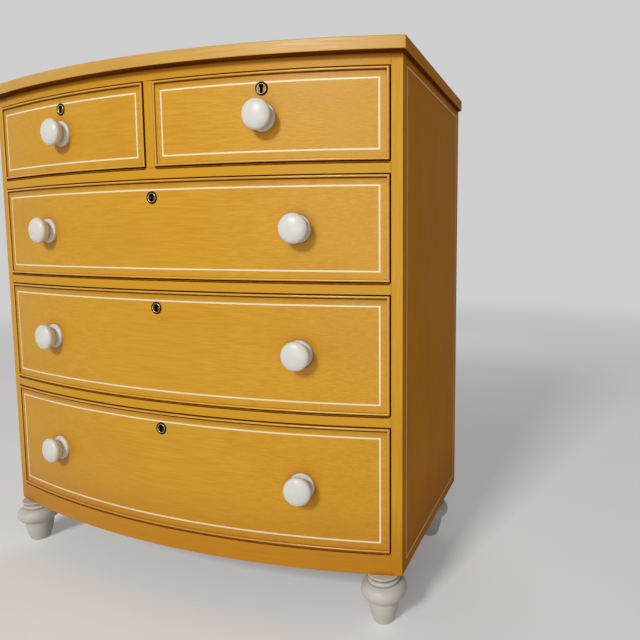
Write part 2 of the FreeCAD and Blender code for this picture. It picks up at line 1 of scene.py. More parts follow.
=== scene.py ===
"""Dresses a bow front chest of drawers: painted boards, beads, lines, knobs, keyhole plates and feet."""

import math
import random

import bmesh
import bpy
from bpy.props import FloatProperty, FloatVectorProperty, PointerProperty
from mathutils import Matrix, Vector, noise


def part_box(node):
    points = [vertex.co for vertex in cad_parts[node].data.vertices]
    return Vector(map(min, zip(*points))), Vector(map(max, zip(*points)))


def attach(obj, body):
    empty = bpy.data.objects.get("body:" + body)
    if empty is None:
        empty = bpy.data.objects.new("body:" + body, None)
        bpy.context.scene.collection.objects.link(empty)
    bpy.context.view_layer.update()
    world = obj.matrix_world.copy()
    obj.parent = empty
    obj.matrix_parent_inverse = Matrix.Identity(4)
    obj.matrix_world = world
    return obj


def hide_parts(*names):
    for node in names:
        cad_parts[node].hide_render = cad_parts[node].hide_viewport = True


bl_info = {
    "name": "Bow Front Chest of Drawers",
    "version": (1, 0, 0),
    "blender": (4, 5, 0),
    "location": "View3D > Sidebar > Chest",
    "description": "Builds the painted boards, turnings, brass and bare wood of a bow front chest",
    "category": "Add Mesh",
}

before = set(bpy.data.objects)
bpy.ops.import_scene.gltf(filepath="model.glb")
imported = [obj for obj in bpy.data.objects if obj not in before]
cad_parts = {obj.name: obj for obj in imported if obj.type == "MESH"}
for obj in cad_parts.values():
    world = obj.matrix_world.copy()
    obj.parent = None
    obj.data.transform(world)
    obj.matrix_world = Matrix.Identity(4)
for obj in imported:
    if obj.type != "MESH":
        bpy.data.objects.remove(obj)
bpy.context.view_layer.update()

CARCASS = "carcass"
RAILS = ("top_rail", "upper_rail", "middle_rail", "lower_rail", "bottom_rail")
SHORT_DRAWERS = ("top_left_drawer", "top_right_drawer")
LONG_DRAWERS = ("upper_drawer", "middle_drawer", "lower_drawer")
DRAWERS = SHORT_DRAWERS + LONG_DRAWERS
FEET = ("front_left_foot", "front_right_foot", "rear_left_foot", "rear_right_foot")
HIDDEN_BOARDS = ("drawer_runners", "dustboards", "top_kickers", "drawer_stops", "foot_blocks", "centre_guide")

# The drawers whose bolts rise into each rail, how far they rise and the room round them
LOCKED_INTO = dict(zip(RAILS, [SHORT_DRAWERS] + [(drawer,) for drawer in LONG_DRAWERS]))
BOLT_TRAVEL = 0.007
BOLT_ROOM = 0.001

SIDE_LOW, SIDE_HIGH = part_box("right_side")
HALF_WIDTH = SIDE_HIGH.x
BACK_Y = SIDE_HIGH.y
CAMERA_Y = BACK_Y - 1.24091
FAR_BEHIND = 10.0
FINISH_PREFIX = "finish_"

# How near is near enough: to join points, to lie on the bowed face and to belong to an edge
MERGE_DISTANCE = 2e-6
ON_FACE = 2e-5
EDGE_REACH = 1e-4
# Past this angle an edge is sharp, and past this part of its normal a face looks along an axis
SMOOTH_ANGLE = math.radians(32)
FACING = 0.7

# How finely pieces are cut, so that they can bend round the bow, and how many steps make them round
BOW_CUTS = 64
RAIL_CUTS = 48
LINE_CUTS = 96
SIDE_LINE_CUTS = 24
EDGE_STEPS = 3
CORNER_STEPS = 6
KNOB_STEPS = 64
FOOT_STEPS = 72

# The axis along the grain and the two across it, and how far apart the grains of two boards may start
GRAIN_ORDERS = {"X": (0, 1, 2), "Z": (2, 0, 1)}
GRAIN_START = 40.0

# How far a strip of painted shadow laps under a bead, and the rounding of its edges
SHADOW_STRIP_LAP = 1e-4
SHADOW_STRIP_SOFTENING = 5e-5
# How brightly the plates of the long drawers shine beside those of the short ones
DULL_PLATE = 0.72


# ---- sizes, colours and stage --------------------------------------------------------------------

def length(name, description, default):
    """A size in metres that a user can change."""
    return FloatProperty(name=name, description=description, default=default, min=0.0, precision=5,
                         subtype="DISTANCE", unit="LENGTH")


def colour(name, description, default):
    """A linear colour that a user can change."""
    return FloatVectorProperty(name=name, description=description, default=default, size=3, min=0.0, max=1.0,
                               subtype="COLOR")


def power(name, description, default):
    """A lamp's power in watts that a user can change."""
    return FloatProperty(name=name, description=description, default=default, min=0.0, subtype="POWER",
                         unit="POWER")


class ChestSizes(bpy.types.PropertyGroup):
    """Sizes of the pieces that dress the chest."""
    bow_rise: length("Bow rise", "How far the middle of the front stands before its ends", 0.058)
    board_softening: length("Board softening", "Rounding of a board's edges", 0.0007)
    top_softening: length("Top softening", "Rounding of the top's edges", 0.0022)
    top_corner: length("Top corner", "Rounding of the top's two rear corners", 0.011)
    top_overhang: length("Top overhang", "How far the top stands before the bowed front", 0.016)
    bead_width: length("Bead width", "Width of the bead round a drawer", 0.004)
    bead_proud: length("Bead height", "How far the bead stands before the drawer's face", 0.003)
    bead_depth: length("Bead depth", "How deep the bead is let into the front", 0.007)
    front_thickness: length("Front thickness", "Thickness of a drawer front", 0.022)
    line_width: length("Line width", "Width of the painted line", 0.003)
    line_inset: length("Line inset", "From a drawer's top and bottom edge to the middle of its line", 0.018)
    line_end_inset: length("Line end inset", "From a drawer's end to the middle of its line", 0.017)
    line_height: length("Line height", "Thickness of the line's paint", 0.00015)
    line_sink: length("Line sink", "How deep a line or glaze reaches into what it is painted on", 0.0003)
    # Strips of painted shadow under the top beads and on the rails.
    glaze_width: length("Shadow strip width", "Width of the glaze under a drawer's top bead", 0.0026)
    front_gap: length("Front gap", "Gap round a drawer front", 0.002)
    line_wander: length("Line wander", "How far the painted line strays", 0.00018)
    side_line_width: length("Side line width", "Width of the line painted on a side", 0.0027)
    side_line_top: length("Side line top inset", "From a side's top edge to the middle of its line", 0.0165)
    side_line_low: length("Side line low inset", "From a side's lower edge to the middle of its line", 0.0215)
    side_line_front: length("Side line front inset", "From a side's front corner to its line", 0.0215)
    side_line_back: length("Side line back inset", "From a side's back edge to its line", 0.019)
    knob_head: length("Knob head", "Diameter of a knob's head", 0.052)
    knob_length: length("Knob length", "How far a knob stands out", 0.0332)
    knob_dome: length("Knob dome", "From the widest part of a knob to its tip", 0.0103)
    knob_back: length("Knob back", "Half length of the ellipse behind a knob's widest part", 0.0184)
    knob_neck: length("Knob neck", "Diameter of a knob's neck", 0.032)
    knob_cove: length("Knob cove", "Diameter half way from the neck to the flange", 0.037)
    knob_flange: length("Knob flange", "Diameter of a knob's flange", 0.0495)
    knob_flange_height: length("Knob flange height", "Thickness of a knob's flange", 0.005)
    knob_lip: length("Knob lip", "Rounding of a knob flange's edge", 0.0026)
    knob_sink: length("Knob sink", "How deep a knob's flange is let into the drawer's face", 0.0005)
    knob_reach: length("Knob reach", "From the middle of a long drawer to each of its knobs", 0.2905)
    plate_diameter: length("Plate diameter", "Diameter of a keyhole plate", 0.0235)
    plate_height: length("Plate height", "How far a keyhole plate's rim stands out", 0.0018)
    plate_lip: length("Plate lip", "Radius of the bright lip on a keyhole plate", 0.0082)
    keyhole_diameter: length("Keyhole eye", "Diameter of the round end of a keyhole", 0.008)
    keyhole_slot: length("Keyhole slot", "Width of a keyhole's slot", 0.005)
    keyhole_length: length("Keyhole length", "From the eye's middle to the slot's end", 0.012)
    keyhole_rise: length("Keyhole rise", "From the plate's middle up to the eye's middle", 0.004)
    nail_diameter: length("Nail diameter", "Diameter of a nail's head", 0.005)
    nail_thickness: length("Nail thickness", "Thickness of a nail's head", 0.0006)
    nail_proud: length("Nail height", "How far a nail's head stands out", 0.00004)


class ChestColours(bpy.types.PropertyGroup):
    """Colours of the finishes."""
    ochre: colour("Ochre paint", "The body of the paint", (0.640, 0.318, 0.014))
    # Light ochre is also the body of the beads' paint, a painted highlight there.
    ochre_light: colour("Light ochre", "Where the brush left the paint thin", (0.720, 0.400, 0.030))
    ochre_deep: colour("Deep ochre", "Where the paint lies thick", (0.530, 0.222, 0.008))
    # Painted sheen: the top's paint is paler.
    ochre_top: colour("Top ochre", "Painted sheen: the paler paint of the top", (0.600, 0.345, 0.060))
    # Painted shade: a darker, redder paint for wide hollows and towards the floor.
    ochre_low: colour("Low ochre", "Painted shade in hollows and towards the floor", (0.430, 0.140, 0.006))
    # Painted shade and warm light: the right side's paint is redder and darker.
    ochre_side: colour("Side ochre", "Painted shade and warm light: the redder, darker paint of the right side", (0.790, 0.262, 0.008))
    # Also the colour of painted shade in corners, grooves and gaps.
    glaze: colour("Brown glaze", "What is left in corners and grooves, and painted shade there and in the gaps", (0.130, 0.024, 0.0005))
    line: colour("Line", "The painted line", (0.880, 0.760, 0.520))
    # Painted warm light: the right side's line is warmer and brighter.
    line_side: colour("Side line", "The dulled line on the sides", (1.000, 0.740, 0.430))
    cream: colour("Cream paint", "Knobs and feet", (0.725, 0.709, 0.645))
    # Painted shade: the darker cream of the knobs' hollows and of the feet.
    cream_shade: colour("Cream in hollows", "Darker cream: painted shade in hollows and on the feet", (0.420, 0.380, 0.300))
    # Dirt and painted shade in the feet's grooves and corners.
    grime: colour("Grime", "Old dirt and painted shade in the grooves and corners of the feet", (0.150, 0.100, 0.055))
    # Painted shade: the black inside the keyholes.
    bore: colour("Keyhole black", "The black inside of a keyhole", (0.006, 0.004, 0.003))
    bore_dust: colour("Keyhole dust", "The paler dust inside a keyhole", (0.020, 0.012, 0.007))
    pine: colour("Pine", "Early wood", (0.620, 0.420, 0.220))
    pine_dark: colour("Pine rings", "Late wood", (0.400, 0.220, 0.085))
    old_pine: colour("Old pine", "Early wood of the unseen boards", (0.360, 0.215, 0.105))
    old_pine_dark: colour("Old pine rings", "Late wood of the unseen boards", (0.190, 0.095, 0.040))
    brass: colour("Brass", "Where brass is rubbed bright", (0.740, 0.560, 0.300))
    tarnish: colour("Tarnish", "Where brass has gone dark", (0.024, 0.013, 0.006))
    steel: colour("Steel", "Bolts and nails", (0.420, 0.410, 0.390))
    floor: colour("Floor", "The studio floor", (0.820, 0.810, 0.790))


class ChestStage(bpy.types.PropertyGroup):
    """Camera and light."""
    camera_place: FloatVectorProperty(
        name="Camera", description="Where the camera stands", size=3, default=(0.75665, CAMERA_Y, 0.68398),
        subtype="TRANSLATION", unit="LENGTH")
    camera_turn: FloatVectorProperty(
        name="Camera turn", description="The camera's rotation", size=3,
        default=[math.radians(turn) for turn in (84.805, -0.181, 18.144)], subtype="EULER", unit="ROTATION")
    lens: FloatProperty(name="Lens", description="Focal length in millimetres", default=29.36, min=1.0)
    shift_x: FloatProperty(name="Shift X", description="Sideways shift of the view", default=-0.1404)
    shift_y: FloatProperty(name="Shift Y", description="Upward shift of the view", default=-0.0418)
    key_power: power("Key light", "Power of the light from above the front", 200.0)
    window_power: power("Window light", "Power of the low light before the front", 8.0)
    fill_power: power("Fill light", "Power of the light from the right of the front", 10.0)
    back_power: power("Back light", "Power of the light behind", 16.0)
    ambient: FloatProperty(name="Ambient", description="Light from all round", default=0.15, min=0.0)
    backdrop: FloatProperty(name="Backdrop", description="How pale the background is", default=0.62, min=0.0)


# ---- the bow -------------------------------------------------------------------------------------

def sizes():
    """The sizes in use."""
    return bpy.context.scene.chest_sizes


def colours():
    """The colours in use."""
    return bpy.context.scene.chest_colours


def bow_radius():
    """Radius of the bowed front."""
    rise = sizes().bow_rise
    return (HALF_WIDTH ** 2 + rise ** 2) / (2 * rise)


def bow_centre():
    """Y of the bow's centre line."""
    return SIDE_LOW.y + math.sqrt(bow_radius() ** 2 - SIDE_LOW.x ** 2)


def on_bow(x, inset=0.0):
    """Y of the bowed front at X, moved in by inset."""
    return bow_centre() - math.sqrt((bow_radius() - inset) ** 2 - x ** 2)


def corner_y():
    """Y of the carcass's front corners, from which depths are measured."""
    return on_bow(HALF_WIDTH)


# ---- node trees ----------------------------------------------------------------------------------

class NodeWork:
    """Adds the nodes of one tree and wires them."""

    def __init__(self, tree):
        self.tree = tree

    def node(self, kind, **settings):
        """A new node with its settings."""
        made = self.tree.nodes.new(kind)
        for key, value in settings.items():
            setattr(made, key, value)
        return made

    def link(self, source, target):
        """A wire, or a plain value where there is no wire."""
        if isinstance(source, bpy.types.NodeSocket):
            self.tree.links.new(source, target)
        else:
            target.default_value = source

    def maths(self, operation, *values):
        """A math node's result."""
        made = self.node("ShaderNodeMath", operation=operation)
        for value, socket in zip(values, made.inputs):
            self.link(value, socket)
        return made.outputs[0]

    def vector(self, x=0.0, y=0.0, z=0.0):
        """A vector from its three parts."""
        made = self.node("ShaderNodeCombineXYZ")
        for value, socket in zip((x, y, z), made.inputs):
            self.link(value, socket)
        return made.outputs[0]

    def parts(self, vector):
        """The three parts of a vector."""
        made = self.node("ShaderNodeSeparateXYZ")
        self.link(vector, made.inputs[0])
        return tuple(made.outputs)


class TreeMaker(NodeWork):
    """Puts a geometry node tree together."""

    def __init__(self, name, inputs):
        super().__init__(bpy.data.node_groups.new(name, "GeometryNodeTree"))
        self.tree.is_modifier = True
        face = self.tree.interface
        face.new_socket("Geometry", in_out="INPUT", socket_type="NodeSocketGeometry")
        for label, kind in inputs:
            face.new_socket(label, in_out="INPUT", socket_type=kind)
        face.new_socket("Geometry", in_out="OUTPUT", socket_type="NodeSocketGeometry")
        self.inputs = self.node("NodeGroupInput").outputs

    def copies(self, points, piece, turn):
        """A copy of a piece on every point, turned by a vector of angles."""
        rotation = self.node("FunctionNodeEulerToRotation")
        self.link(turn, rotation.inputs[0])
        made = self.node("GeometryNodeInstanceOnPoints")
        self.link(points, made.inputs["Points"])
        self.link(piece, made.inputs["Instance"])
        self.link(rotation.outputs[0], made.inputs["Rotation"])
        return made.outputs[0]

    def finish(self, geometry):
        """Realize what is there, give it its material and hand it out."""
        real = self.node("GeometryNodeRealizeInstances")
        self.link(geometry, real.inputs[0])
        finish = self.node("GeometryNodeSetMaterial")
        self.link(real.outputs[0], finish.inputs["Geometry"])
        self.link(self.inputs["Finish"], finish.inputs["Material"])
        self.link(finish.outputs[0], self.node("NodeGroupOutput").inputs[0])
        return self.tree


BOW_INPUTS = (("Bow Radius", "NodeSocketFloat"), ("Bow Centre", "NodeSocketFloat"))
FINISH_INPUT = (("Finish", "NodeSocketMaterial"),)


def bow_wrap_tree():
    """Bends a flat piece round the bow. What lies behind Straight From only moves back."""
    inputs = (("Corner", "NodeSocketFloat"), ("Straight From", "NodeSocketFloat"))
    make = TreeMaker("bow_wrap", BOW_INPUTS + inputs + FINISH_INPUT)
    x, y, z = make.parts(make.node("GeometryNodeInputPosition").outputs[0])
    radius = make.maths("SUBTRACT", make.inputs["Bow Radius"], y)
    reach = make.maths("SUBTRACT", make.maths("MULTIPLY", radius, radius), make.maths("MULTIPLY", x, x))
    bowed = make.maths("SUBTRACT", make.inputs["Bow Centre"], make.maths("SQRT", reach))
    straight = make.maths("ADD", make.inputs["Corner"], y)
    behind = make.maths("GREATER_THAN", y, make.inputs["Straight From"])
    way = make.maths("MULTIPLY", behind, make.maths("SUBTRACT", straight, bowed))
    move = make.node("GeometryNodeSetPosition")
    make.link(make.inputs["Geometry"], move.inputs["Geometry"])
    make.link(make.vector(x, make.maths("ADD", bowed, way), z), move.inputs["Position"])
    return make.finish(move.outputs[0])


def round_bow_tree():
    """Repeats a piece made at the bow's middle at even spacings along the bow, square to its face."""
    inputs = (("First", "NodeSocketFloat"), ("Spacing", "NodeSocketFloat"), ("Count", "NodeSocketInt"))
    make = TreeMaker("round_bow", BOW_INPUTS + inputs + FINISH_INPUT)
    centre = make.inputs["Bow Centre"]
    moved = make.node("GeometryNodeTransform")
    make.link(make.inputs["Geometry"], moved.inputs["Geometry"])
    make.link(make.vector(y=make.maths("MULTIPLY", centre, -1.0)), moved.inputs["Translation"])
    points = make.node("GeometryNodePoints")
    make.link(make.inputs["Count"], points.inputs["Count"])
    make.link(make.vector(y=centre), points.inputs["Position"])
    step = make.maths("MULTIPLY", make.node("GeometryNodeInputIndex").outputs[0], make.inputs["Spacing"])
    x = make.maths("ADD", make.inputs["First"], step)
    angle = make.maths("ARCSINE", make.maths("DIVIDE", x, make.inputs["Bow Radius"]))
    return make.finish(make.copies(points.outputs[0], moved.outputs[0], make.vector(z=angle)))


def nail_tree():
    """Puts a nail's head, turned at random, on every vertex."""
    inputs = (("Diameter", "NodeSocketFloat"), ("Height", "NodeSocketFloat"), ("Seed", "NodeSocketInt"))
    sides, taper = 10, 0.8
    make = TreeMaker("nail_heads", inputs + FINISH_INPUT)
    head = make.node("GeometryNodeMeshCone")
    head.inputs["Vertices"].default_value = sides
    radius = make.maths("MULTIPLY", make.inputs["Diameter"], 0.5)
    make.link(make.maths("MULTIPLY", radius, taper), head.inputs["Radius Top"])
    make.link(radius, head.inputs["Radius Bottom"])
    make.link(make.inputs["Height"], head.inputs["Depth"])
    spin = make.node("FunctionNodeRandomValue", data_type="FLOAT")
    spin.inputs["Max"].default_value = 2 * math.pi
    make.link(make.inputs["Seed"], spin.inputs["Seed"])
    turn = make.vector(-math.pi / 2, spin.outputs["Value"])
    return make.finish(make.copies(make.inputs["Geometry"], head.outputs["Mesh"], turn))


def tree_named(name, maker):
    """A node tree, made the first time that it is asked for."""
    return bpy.data.node_groups.get(name) or maker()


def run_tree(piece, tree, **values):
    """Run a tree on a piece and keep the plain mesh that it gives."""
    modifier = piece.modifiers.new(tree.name, "NODES")
    modifier.node_group = tree
    for socket in tree.interface.items_tree:
        key = socket.name.replace(" ", "_").lower()
        if key in values:
            modifier[socket.identifier] = values[key]
    settle(piece)


def settle(piece):
    """Turn a piece's modifiers into its own plain mesh."""
    depsgraph = bpy.context.evaluated_depsgraph_get()
    finished = piece.evaluated_get(depsgraph)
    mesh = bpy.data.meshes.new_from_object(finished, preserve_all_data_layers=True, depsgraph=depsgraph)
    if not mesh.polygons:
        raise RuntimeError(piece.name + " came out empty")
    unfinished = piece.data
    piece.modifiers.clear()
    piece.data = mesh
    bpy.data.meshes.remove(unfinished)
    mesh.name = piece.name


def wrap(piece, finish, straight_from=FAR_BEHIND):
    """Bend a flat piece round the bow and give it its finish."""
    run_tree(piece, tree_named("bow_wrap", bow_wrap_tree), bow_radius=bow_radius(), bow_centre=bow_centre(),
             corner=corner_y(), straight_from=straight_from, finish=finish_named(finish))
    even_normals(piece)


def carry_round(piece, finish, xs):
    """Repeat a piece made at the bow's middle at one or two places along the bow, and give it its finish."""
    spacing = xs[-1] - xs[0] if len(xs) > 1 else 0.0
    run_tree(piece, tree_named("round_bow", round_bow_tree), bow_radius=bow_radius(), bow_centre=bow_centre(),
             first=xs[0], spacing=spacing, count=len(xs), finish=finish_named(finish))
    even_normals(piece)


# ---- mesh helpers --------------------------------------------------------------------------------

def new_piece(name, mesh_data, finish=None):
    """An object at the origin from a bmesh, with a finish where one is named."""
    mesh = bpy.data.meshes.new(name)
    mesh_data.to_mesh(mesh)
    mesh_data.free()
    if finish:
        mesh.materials.append(finish_named(finish))
    piece = bpy.data.objects.new(name, mesh)
    bpy.context.scene.collection.objects.link(piece)
    return piece


def lay_grain(piece, along, seed):
    """Store each point's place along and across the grain, with a start of its own for each board."""
    mesh = piece.data
    order = GRAIN_ORDERS[along]
    draw = random.Random(seed)
    start = [draw.uniform(0, GRAIN_START) for _ in order]
    attribute = mesh.attributes.new("grain", "FLOAT_VECTOR", "POINT")
    for vertex, value in zip(mesh.vertices, attribute.data):
        value.vector = [vertex.co[axis] + shift for axis, shift in zip(order, start)]


def lay_frame_grain(piece):
    """Store the grain of a moulding round a rectangle, along each of its four runs."""
    mesh = piece.data
    attribute = mesh.attributes.new("grain", "FLOAT_VECTOR", "CORNER")
    for face in mesh.polygons:
        places = [mesh.vertices[index].co for index in face.vertices]
        width, height = [max(place[axis] for place in places) - min(place[axis] for place in places)
                         for axis in (0, 2)]
        order = GRAIN_ORDERS["Z" if height > width else "X"]
        for corner, place in zip(face.loop_indices, places):
            attribute.data[corner].vector = [place[axis] for axis in order]


def even_normals(piece):
    """Smooth shading with crisp corners, and normals that follow the large faces."""
    piece.data.set_sharp_from_angle(angle=SMOOTH_ANGLE)
    modifier = piece.modifiers.new("even", "WEIGHTED_NORMAL")
    modifier.keep_sharp = True
    settle(piece)


def round_edges(board, edges, offset, steps=EDGE_STEPS):
    """Round some edges of a bmesh."""
    bmesh.ops.bevel(board, geom=edges, offset=offset, segments=steps, profile=0.5, affect="EDGES")


def block(low, high, softening, cuts=0, corner=0.0):
    """Board between two corners with rounded edges, cut across its length so that it can bend."""
    board = bmesh.new()
    bmesh.ops.create_cube(board, size=1.0)
    for vertex in board.verts:
        vertex.co = [(a + b) / 2 + part * (b - a) for part, a, b in zip(vertex.co, low, high)]
    if corner:
        upright = [edge for edge in board.edges
                   if all(abs(vertex.co.y - high[1]) < MERGE_DISTANCE for vertex in edge.verts)
                   and abs(edge.verts[0].co.z - edge.verts[1].co.z) > MERGE_DISTANCE]
        round_edges(board, upright, corner, CORNER_STEPS)
    if softening:
        round_edges(board, [edge for edge in board.edges if edge.calc_face_angle() > SMOOTH_ANGLE], softening)
    for number in range(1, cuts):
        x = low[0] + (high[0] - low[0]) * number / cuts
        everything = board.verts[:] + board.edges[:] + board.faces[:]
        bmesh.ops.bisect_plane(board, geom=everything, plane_co=(x, 0, 0), plane_no=(1, 0, 0))
    return board


def skin(shape, rings):
    """Join each ring of vertices to the next with faces. A ring of one vertex is a pole."""
    for ring, following in zip(rings, rings[1:]):
        for number in range(max(len(ring), len(following))):
            after = number + 1
            corners = (ring[number % len(ring)], ring[after % len(ring)],
                       following[after % len(following)], following[number % len(following)])
            shape.faces.new(list(dict.fromkeys(corners)))
    bmesh.ops.recalc_face_normals(shape, faces=shape.faces)


def outline_frame(low, high, profile, cuts):
    """Moulding round a rectangle in X and Z, with mitred corners. The profile is closed (inset, Y) points."""
    moulding = bmesh.new()
    rings = []
    for inset, y in profile:
        x_low, x_high, z_low, z_high = low[0] + inset, high[0] - inset, low[1] + inset, high[1] - inset
        xs = [x_low + (x_high - x_low) * number / cuts for number in range(cuts + 1)]
        corners = [(x, z_low) for x in xs] + [(x, z_high) for x in reversed(xs)]
        rings.append([moulding.verts.new((x, y, z)) for x, z in corners])
    skin(moulding, rings + rings[:1])
    return moulding


def turning(profile, steps, place):
    """Turned solid from (radius, height) points, end to end. place(radius, angle, height) gives a point."""
    turned = bmesh.new()
    rings = []
    for radius, height in profile:
        angles = [2 * math.pi * number / steps for number in range(steps if radius > MERGE_DISTANCE else 1)]
        rings.append([turned.verts.new(place(radius, angle, height)) for angle in angles])
    skin(turned, rings)
    return turned


def arc_points(start, middle, end, steps):
    """Points on the arc through three (radius, height) points, without the first."""
    (ax, ay), (bx, by), (cx, cy) = start, middle, end
    twist = 2 * (ax * (by - cy) + bx * (cy - ay) + cx * (ay - by))
    a, b, c = ax ** 2 + ay ** 2, bx ** 2 + by ** 2, cx ** 2 + cy ** 2
    ox = (a * (by - cy) + b * (cy - ay) + c * (ay - by)) / twist
    oy = (a * (cx - bx) + b * (ax - cx) + c * (bx - ax)) / twist
    radius = math.hypot(ax - ox, ay - oy)
    angles = [math.atan2(y - oy, x - ox) for x, y in (start, middle, end)]
    first_half = (angles[1] - angles[0] + math.pi) % (2 * math.pi) - math.pi
    second_half = (angles[2] - angles[1] + math.pi) % (2 * math.pi) - math.pi
    sweep = first_half + second_half
    turns = [angles[0] + sweep * number / steps for number in range(1, steps + 1)]
    return [(ox + radius * math.cos(turn), oy + radius * math.sin(turn)) for turn in turns]


def dress(piece, body, slot, *nodes):
    """Ride on a body and stand for the nodes that the piece replaces, which are hidden. slot is not used."""
    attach(piece, body)
    if nodes:
        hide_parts(*nodes)


# ---- finishes ------------------------------------------------------------------------------------

class Finish(NodeWork):
    """Puts a material's node tree together round one Principled shader."""

    def __init__(self, name, roughness, gloss=0.5, metallic=0.0):
        self.material = bpy.data.materials.new(FINISH_PREFIX + name)
        self.material.use_nodes = True
        super().__init__(self.material.node_tree)
        self.shader = self.tree.nodes["Principled BSDF"]
        self.shader.inputs["Roughness"].default_value = roughness
        self.shader.inputs["Specular IOR Level"].default_value = gloss
        self.shader.inputs["Metallic"].default_value = metallic

    def stored(self, name, output="Vector"):
        """What a mesh stores under a name."""
        return self.node("ShaderNodeAttribute", attribute_name=name).outputs[output]

    def grain(self, along, across):
        """Place along and across the grain, each times a stretch."""
        scaled = self.node("ShaderNodeVectorMath", operation="MULTIPLY")
        self.link(self.stored("grain"), scaled.inputs[0])
        scaled.inputs[1].default_value = (along, across, across)
        return scaled.outputs[0]

    def object_place(self):
        """Plain object coordinates."""
        return self.node("ShaderNodeTexCoord").outputs["Object"]

    def noise(self, place, scale=1.0, detail=3.0, roughness=0.55, distortion=0.0):
        """Noise from 0 to 1."""
        made = self.node("ShaderNodeTexNoise")
        settings = {"Vector": place, "Scale": scale, "Detail": detail, "Roughness": roughness,
                    "Distortion": distortion}
        for socket, value in settings.items():
            self.link(value, made.inputs[socket])
        return made.outputs["Fac"]

    def spread(self, value, low, high, to_low=0.0, to_high=1.0):
        """A value between low and high, spread over another range and kept inside it."""
        made = self.node("ShaderNodeMapRange", interpolation_type="SMOOTHSTEP")
        for source, target in zip((value, low, high, to_low, to_high), made.inputs):
            self.link(source, target)
        return made.outputs[0]

    def mix(self, amount, first, second):
        """Mix of two colours."""
        made = self.node("ShaderNodeMix", data_type="RGBA")
        self.link(amount, made.inputs[0])
        for value, socket in ((first, made.inputs[6]), (second, made.inputs[7])):
            self.link(value if isinstance(value, bpy.types.NodeSocket) else (*value, 1.0), socket)
        return made.outputs[2]

    def hollows(self, distance):
        """How enclosed a point is: 0 in the open, 1 deep in a corner or groove."""
        made = self.node("ShaderNodeAmbientOcclusion", samples=8)
        made.inputs["Distance"].default_value = distance
        return self.maths("SUBTRACT", 1.0, made.outputs["AO"])

    def bump(self, height, distance, strength=1.0, under=None):
        """Relief from a height, on top of another relief."""
        made = self.node("ShaderNodeBump")
        made.inputs["Strength"].default_value = strength
        made.inputs["Distance"].default_value = distance
        self.link(height, made.inputs["Height"])
        if under:
            self.link(under, made.inputs["Normal"])
        return made.outputs[0]

    def done(self, base, roughness=None, normal=None):
        """Wire the results to the shader and return the material."""
        self.link(base, self.shader.inputs["Base Color"])
        if roughness:
            self.link(roughness, self.shader.inputs["Roughness"])
        if normal:
            self.link(normal, self.shader.inputs["Normal"])
        return self.material


def edge_distances(paint):
    """Distances to a drawer face's left, bottom, right and top edges."""
    left, _, low = paint.parts(paint.stored("from_low"))
    right, _, top = paint.parts(paint.stored("to_high"))
    return left, low, right, top


def glaze_and_shadow_bands(paint, left, top):
    """How dark the bands beside the beads of a drawer's face are, as glaze and painted bead shadow, most of
    it under the top bead.
    """
    bands = [paint.spread(left, 0.0060, 0.0150, 0.10, 0.0), paint.spread(top, 0.0060, 0.0170, 0.34, 0.0)]
    patchy = paint.noise(paint.grain(30.0, 60.0), detail=2.0)
    return paint.maths("MULTIPLY", paint.maths("MAXIMUM", *bands), paint.spread(patchy, 0.25, 0.6, 0.7, 1.0))


def ochre_paint(name="ochre_paint", gloss=0.20, body=None, banded=False, smooth=0.0, corner_shade=0.96):
    """Brushed satin ochre paint, with brown glaze and painted shade in its tight corners, and painted shade
    in wider hollows and towards the floor.
    """
    paint = Finish(name, 0.42, gloss)
    shades = colours()
    brush = paint.noise(paint.grain(12.0, 380.0), detail=4.0, roughness=0.6)
    fine = paint.noise(paint.grain(30.0, 900.0), detail=2.0)
    cloud = paint.noise(paint.grain(4.0, 10.0), detail=3.0)
    ripple = paint.noise(paint.grain(20.0, 400.0), detail=2.0, distortion=0.15)
    base = paint.mix(paint.spread(brush, 0.36, 0.66), shades.ochre_deep, shades.ochre_light)
    base = paint.mix(0.74, base, body or shades.ochre)
    base = paint.mix(paint.spread(cloud, 0.45, 0.75, 0.0, 0.30), base, shades.ochre_deep)
    base = paint.mix(paint.spread(fine, 0.5, 0.75, 0.0, 0.10), base, shades.ochre_light)
    # Painted shade in wide hollows: round the knobs, under the beads and under the top.
    shaded = 0.50 if banded else 0.80
    wide, tight = 0.034, 0.010
    base = paint.mix(paint.spread(paint.hollows(wide), 0.08, 0.42, 0.0, shaded), base, shades.ochre_low)
    # Painted shade, brown as glaze, in tight corners and in the gaps round the drawers; on a drawer's face it
    # is kept off the bottom and right edges.
    corner = paint.spread(paint.hollows(tight), 0.22, 0.62, 0.0, corner_shade)
    if banded:
        left, low, right, top = edge_distances(paint)
        shade_allowed = paint.maths("MINIMUM", paint.spread(low, 0.0060, 0.0110), paint.spread(right, 0.0060, 0.0110))
        corner = paint.maths("MULTIPLY", corner, shade_allowed)
        # Glaze and painted bead shadow in bands under the top bead and beside the left bead.
        base = paint.mix(glaze_and_shadow_bands(paint, left, top), base, shades.glaze)
    base = paint.mix(corner, base, shades.glaze)
    # Painted shade: darker and redder towards the floor.
    height = paint.parts(paint.object_place())[2]
    floor_shade = paint.spread(height, 0.100, 0.260, 0.50, 0.0)
    base = paint.mix(floor_shade, base, shades.ochre_low)
    rough = paint.spread(brush, 0.3, 0.7, 0.36 - smooth, 0.50 - smooth)
    relief = paint.bump(ripple, 0.0006, 0.1 if smooth else 0.45)
    relief = paint.bump(fine, 0.0002, 0.1 if smooth else 0.5, relief)
    return paint.done(base, rough, relief)


